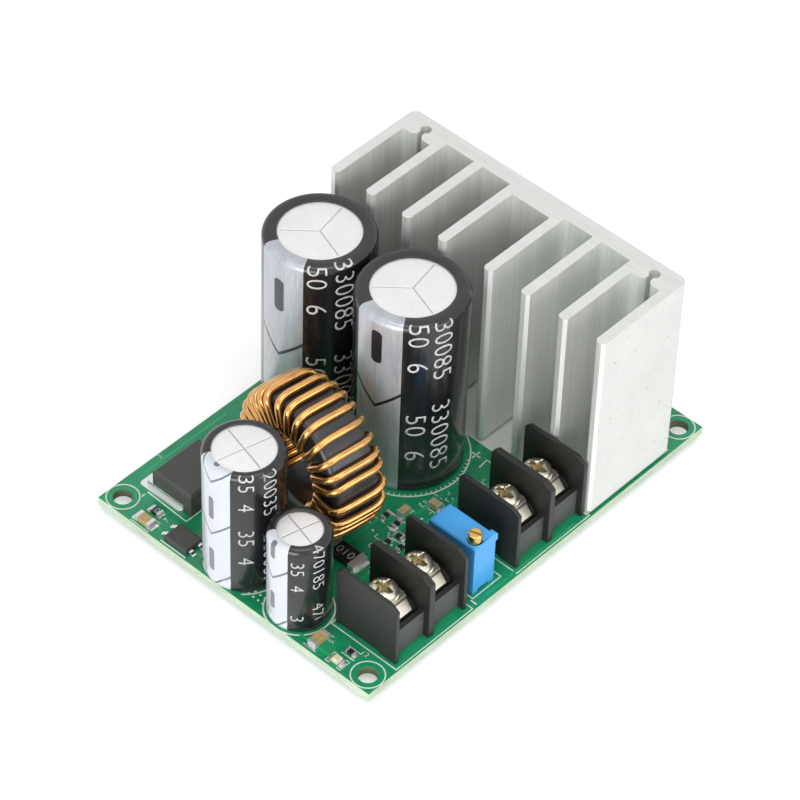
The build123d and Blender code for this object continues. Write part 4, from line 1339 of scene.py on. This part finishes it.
class CONVERTER_OT_stage(bpy.types.Operator):
    """Sets the floor, the lights, the world and the camera"""
    bl_idname = "converter.stage"
    bl_label = "Stage"

    FLOOR_HALF = 900
    # Name, place, size and power of every light, and the point at which all of them aim
    LIGHTS = (("key", (480, 40, 230), 300, 0.66), ("top", (60, -40, 520), 300, 0.55),
              ("fill", (170, -470, 150), 300, 1.5))
    LIGHT_AIM = (0, 0, 12)
    # The photograph's own view, found from the board's corners and the heatsink: azimuth, elevation and
    # roll in degrees, the way right, up and back from the board's near left corner, and the lens
    CAMERA_ANGLES, CAMERA_WAY = (41.372, 45.268, 2.107), (47.166, 15.154, 610.956)
    CAMERA_CORNER, CAMERA_LENS = (29, 39, -1.6), 176.03

    def execute(self, context):
        scene = context.scene
        scene.view_settings.view_transform = "Standard"
        self.make_floor(extent("solder_joints")[0].z - sizes().board_clearance / MM)
        self.make_world(scene)
        self.make_lights()
        self.make_camera(scene)
        return {"FINISHED"}

    def make_floor(self, level):
        bm = bmesh.new()
        far = self.FLOOR_HALF
        corners = ((-far, -far), (far, -far), (far, far), (-far, far))
        bm.faces.new([bm.verts.new((x, y, level)) for x, y in corners])
        floor = object_from(bm, "floor")
        material = bpy.data.materials.new("floor_paper")
        material.use_nodes = True
        tree = Tree(material.node_tree)
        shader = material.node_tree.nodes["Principled BSDF"]
        seen = tree.seen("Is Camera Ray", "Is Glossy Ray")
        for key, value in (("Base Color", rgba(colours().floor)), ("Roughness", 0.95),
                           ("Specular IOR Level", 0.0), ("Emission Color", (1, 1, 1, 1)),
                           ("Emission Strength", seen * 0.42)):
            tree.put(shader, key, value)
        floor.data.materials.append(material)

    def make_world(self, scene):
        world = bpy.data.worlds.new("studio")
        scene.world = world
        world.use_nodes = True
        tree = Tree(world.node_tree)
        background = world.node_tree.nodes["Background"]
        seen = tree.seen("Is Camera Ray", "Is Glossy Ray", "Is Transmission Ray")
        tree.put(background, 0, (1, 1, 1, 1))
        tree.put(background, 1, tree.spread(seen, 0.5, 1.0))

    def make_lights(self):
        for name, place, size, power in self.LIGHTS:
            light = bpy.data.lights.new(name, "AREA")
            light.size = size * MM
            light.energy = power
            obj = linked(name, light)
            obj.location = Vector(place) * MM
            aim = Vector(self.LIGHT_AIM) * MM - obj.location
            obj.rotation_euler = aim.to_track_quat("-Z", "Y").to_euler()

    def make_camera(self, scene):
        azimuth, elevation, roll = (math.radians(value) for value in self.CAMERA_ANGLES)
        back = Vector((math.sin(azimuth) * math.cos(elevation), -math.cos(azimuth) * math.cos(elevation),
                       math.sin(elevation)))
        side = UP.cross(back).normalized()
        above = back.cross(side)
        axes = (side * math.cos(roll) + above * math.sin(roll),
                above * math.cos(roll) - side * math.sin(roll), back)
        place = sum((axis * way for axis, way in zip(axes, self.CAMERA_WAY)), -Vector(self.CAMERA_CORNER))
        camera = bpy.data.cameras.new("camera")
        camera.lens = self.CAMERA_LENS
        camera.sensor_width = 36.0
        camera.clip_start = 0.01
        camera.clip_end = 20.0
        obj = linked("camera", camera)
        matrix = Matrix(axes).transposed().to_4x4()
        matrix.translation = place * MM
        obj.matrix_world = matrix
        scene.camera = obj


class CONVERTER_PT_panel(bpy.types.Panel):
    """Lists the pieces of the module"""
    bl_label = "Converter"
    bl_idname = "CONVERTER_PT_panel"
    bl_space_type = "VIEW_3D"
    bl_region_type = "UI"
    bl_category = "Converter"

    def draw(self, context):
        layout = self.layout
        for kind in OPERATORS:
            layout.operator(kind.bl_idname)
        for group in (context.scene.converter_sizes, context.scene.converter_colours):
            box = layout.box()
            for name in group.__annotations__:
                box.prop(group, name)


OPERATORS = (
    CONVERTER_OT_board, CONVERTER_OT_heatsink, CONVERTER_OT_capacitors, CONVERTER_OT_choke,
    CONVERTER_OT_terminals, CONVERTER_OT_trimmer, CONVERTER_OT_packages, CONVERTER_OT_surface_parts,
    CONVERTER_OT_stage,
)
CLASSES = (ConverterSizes, ConverterColours) + OPERATORS + (CONVERTER_PT_panel,)


def register():
    for kind in CLASSES:
        bpy.utils.register_class(kind)
    bpy.types.Scene.converter_sizes = bpy.props.PointerProperty(type=ConverterSizes)
    bpy.types.Scene.converter_colours = bpy.props.PointerProperty(type=ConverterColours)


def unregister():
    del bpy.types.Scene.converter_colours
    del bpy.types.Scene.converter_sizes
    for kind in reversed(CLASSES):
        bpy.utils.unregister_class(kind)


def main():
    register()
    make_finishes()
    for kind in OPERATORS:
        getattr(bpy.ops.converter, kind.bl_idname.split(".")[1])()


if __name__ == "__main__":
    main()
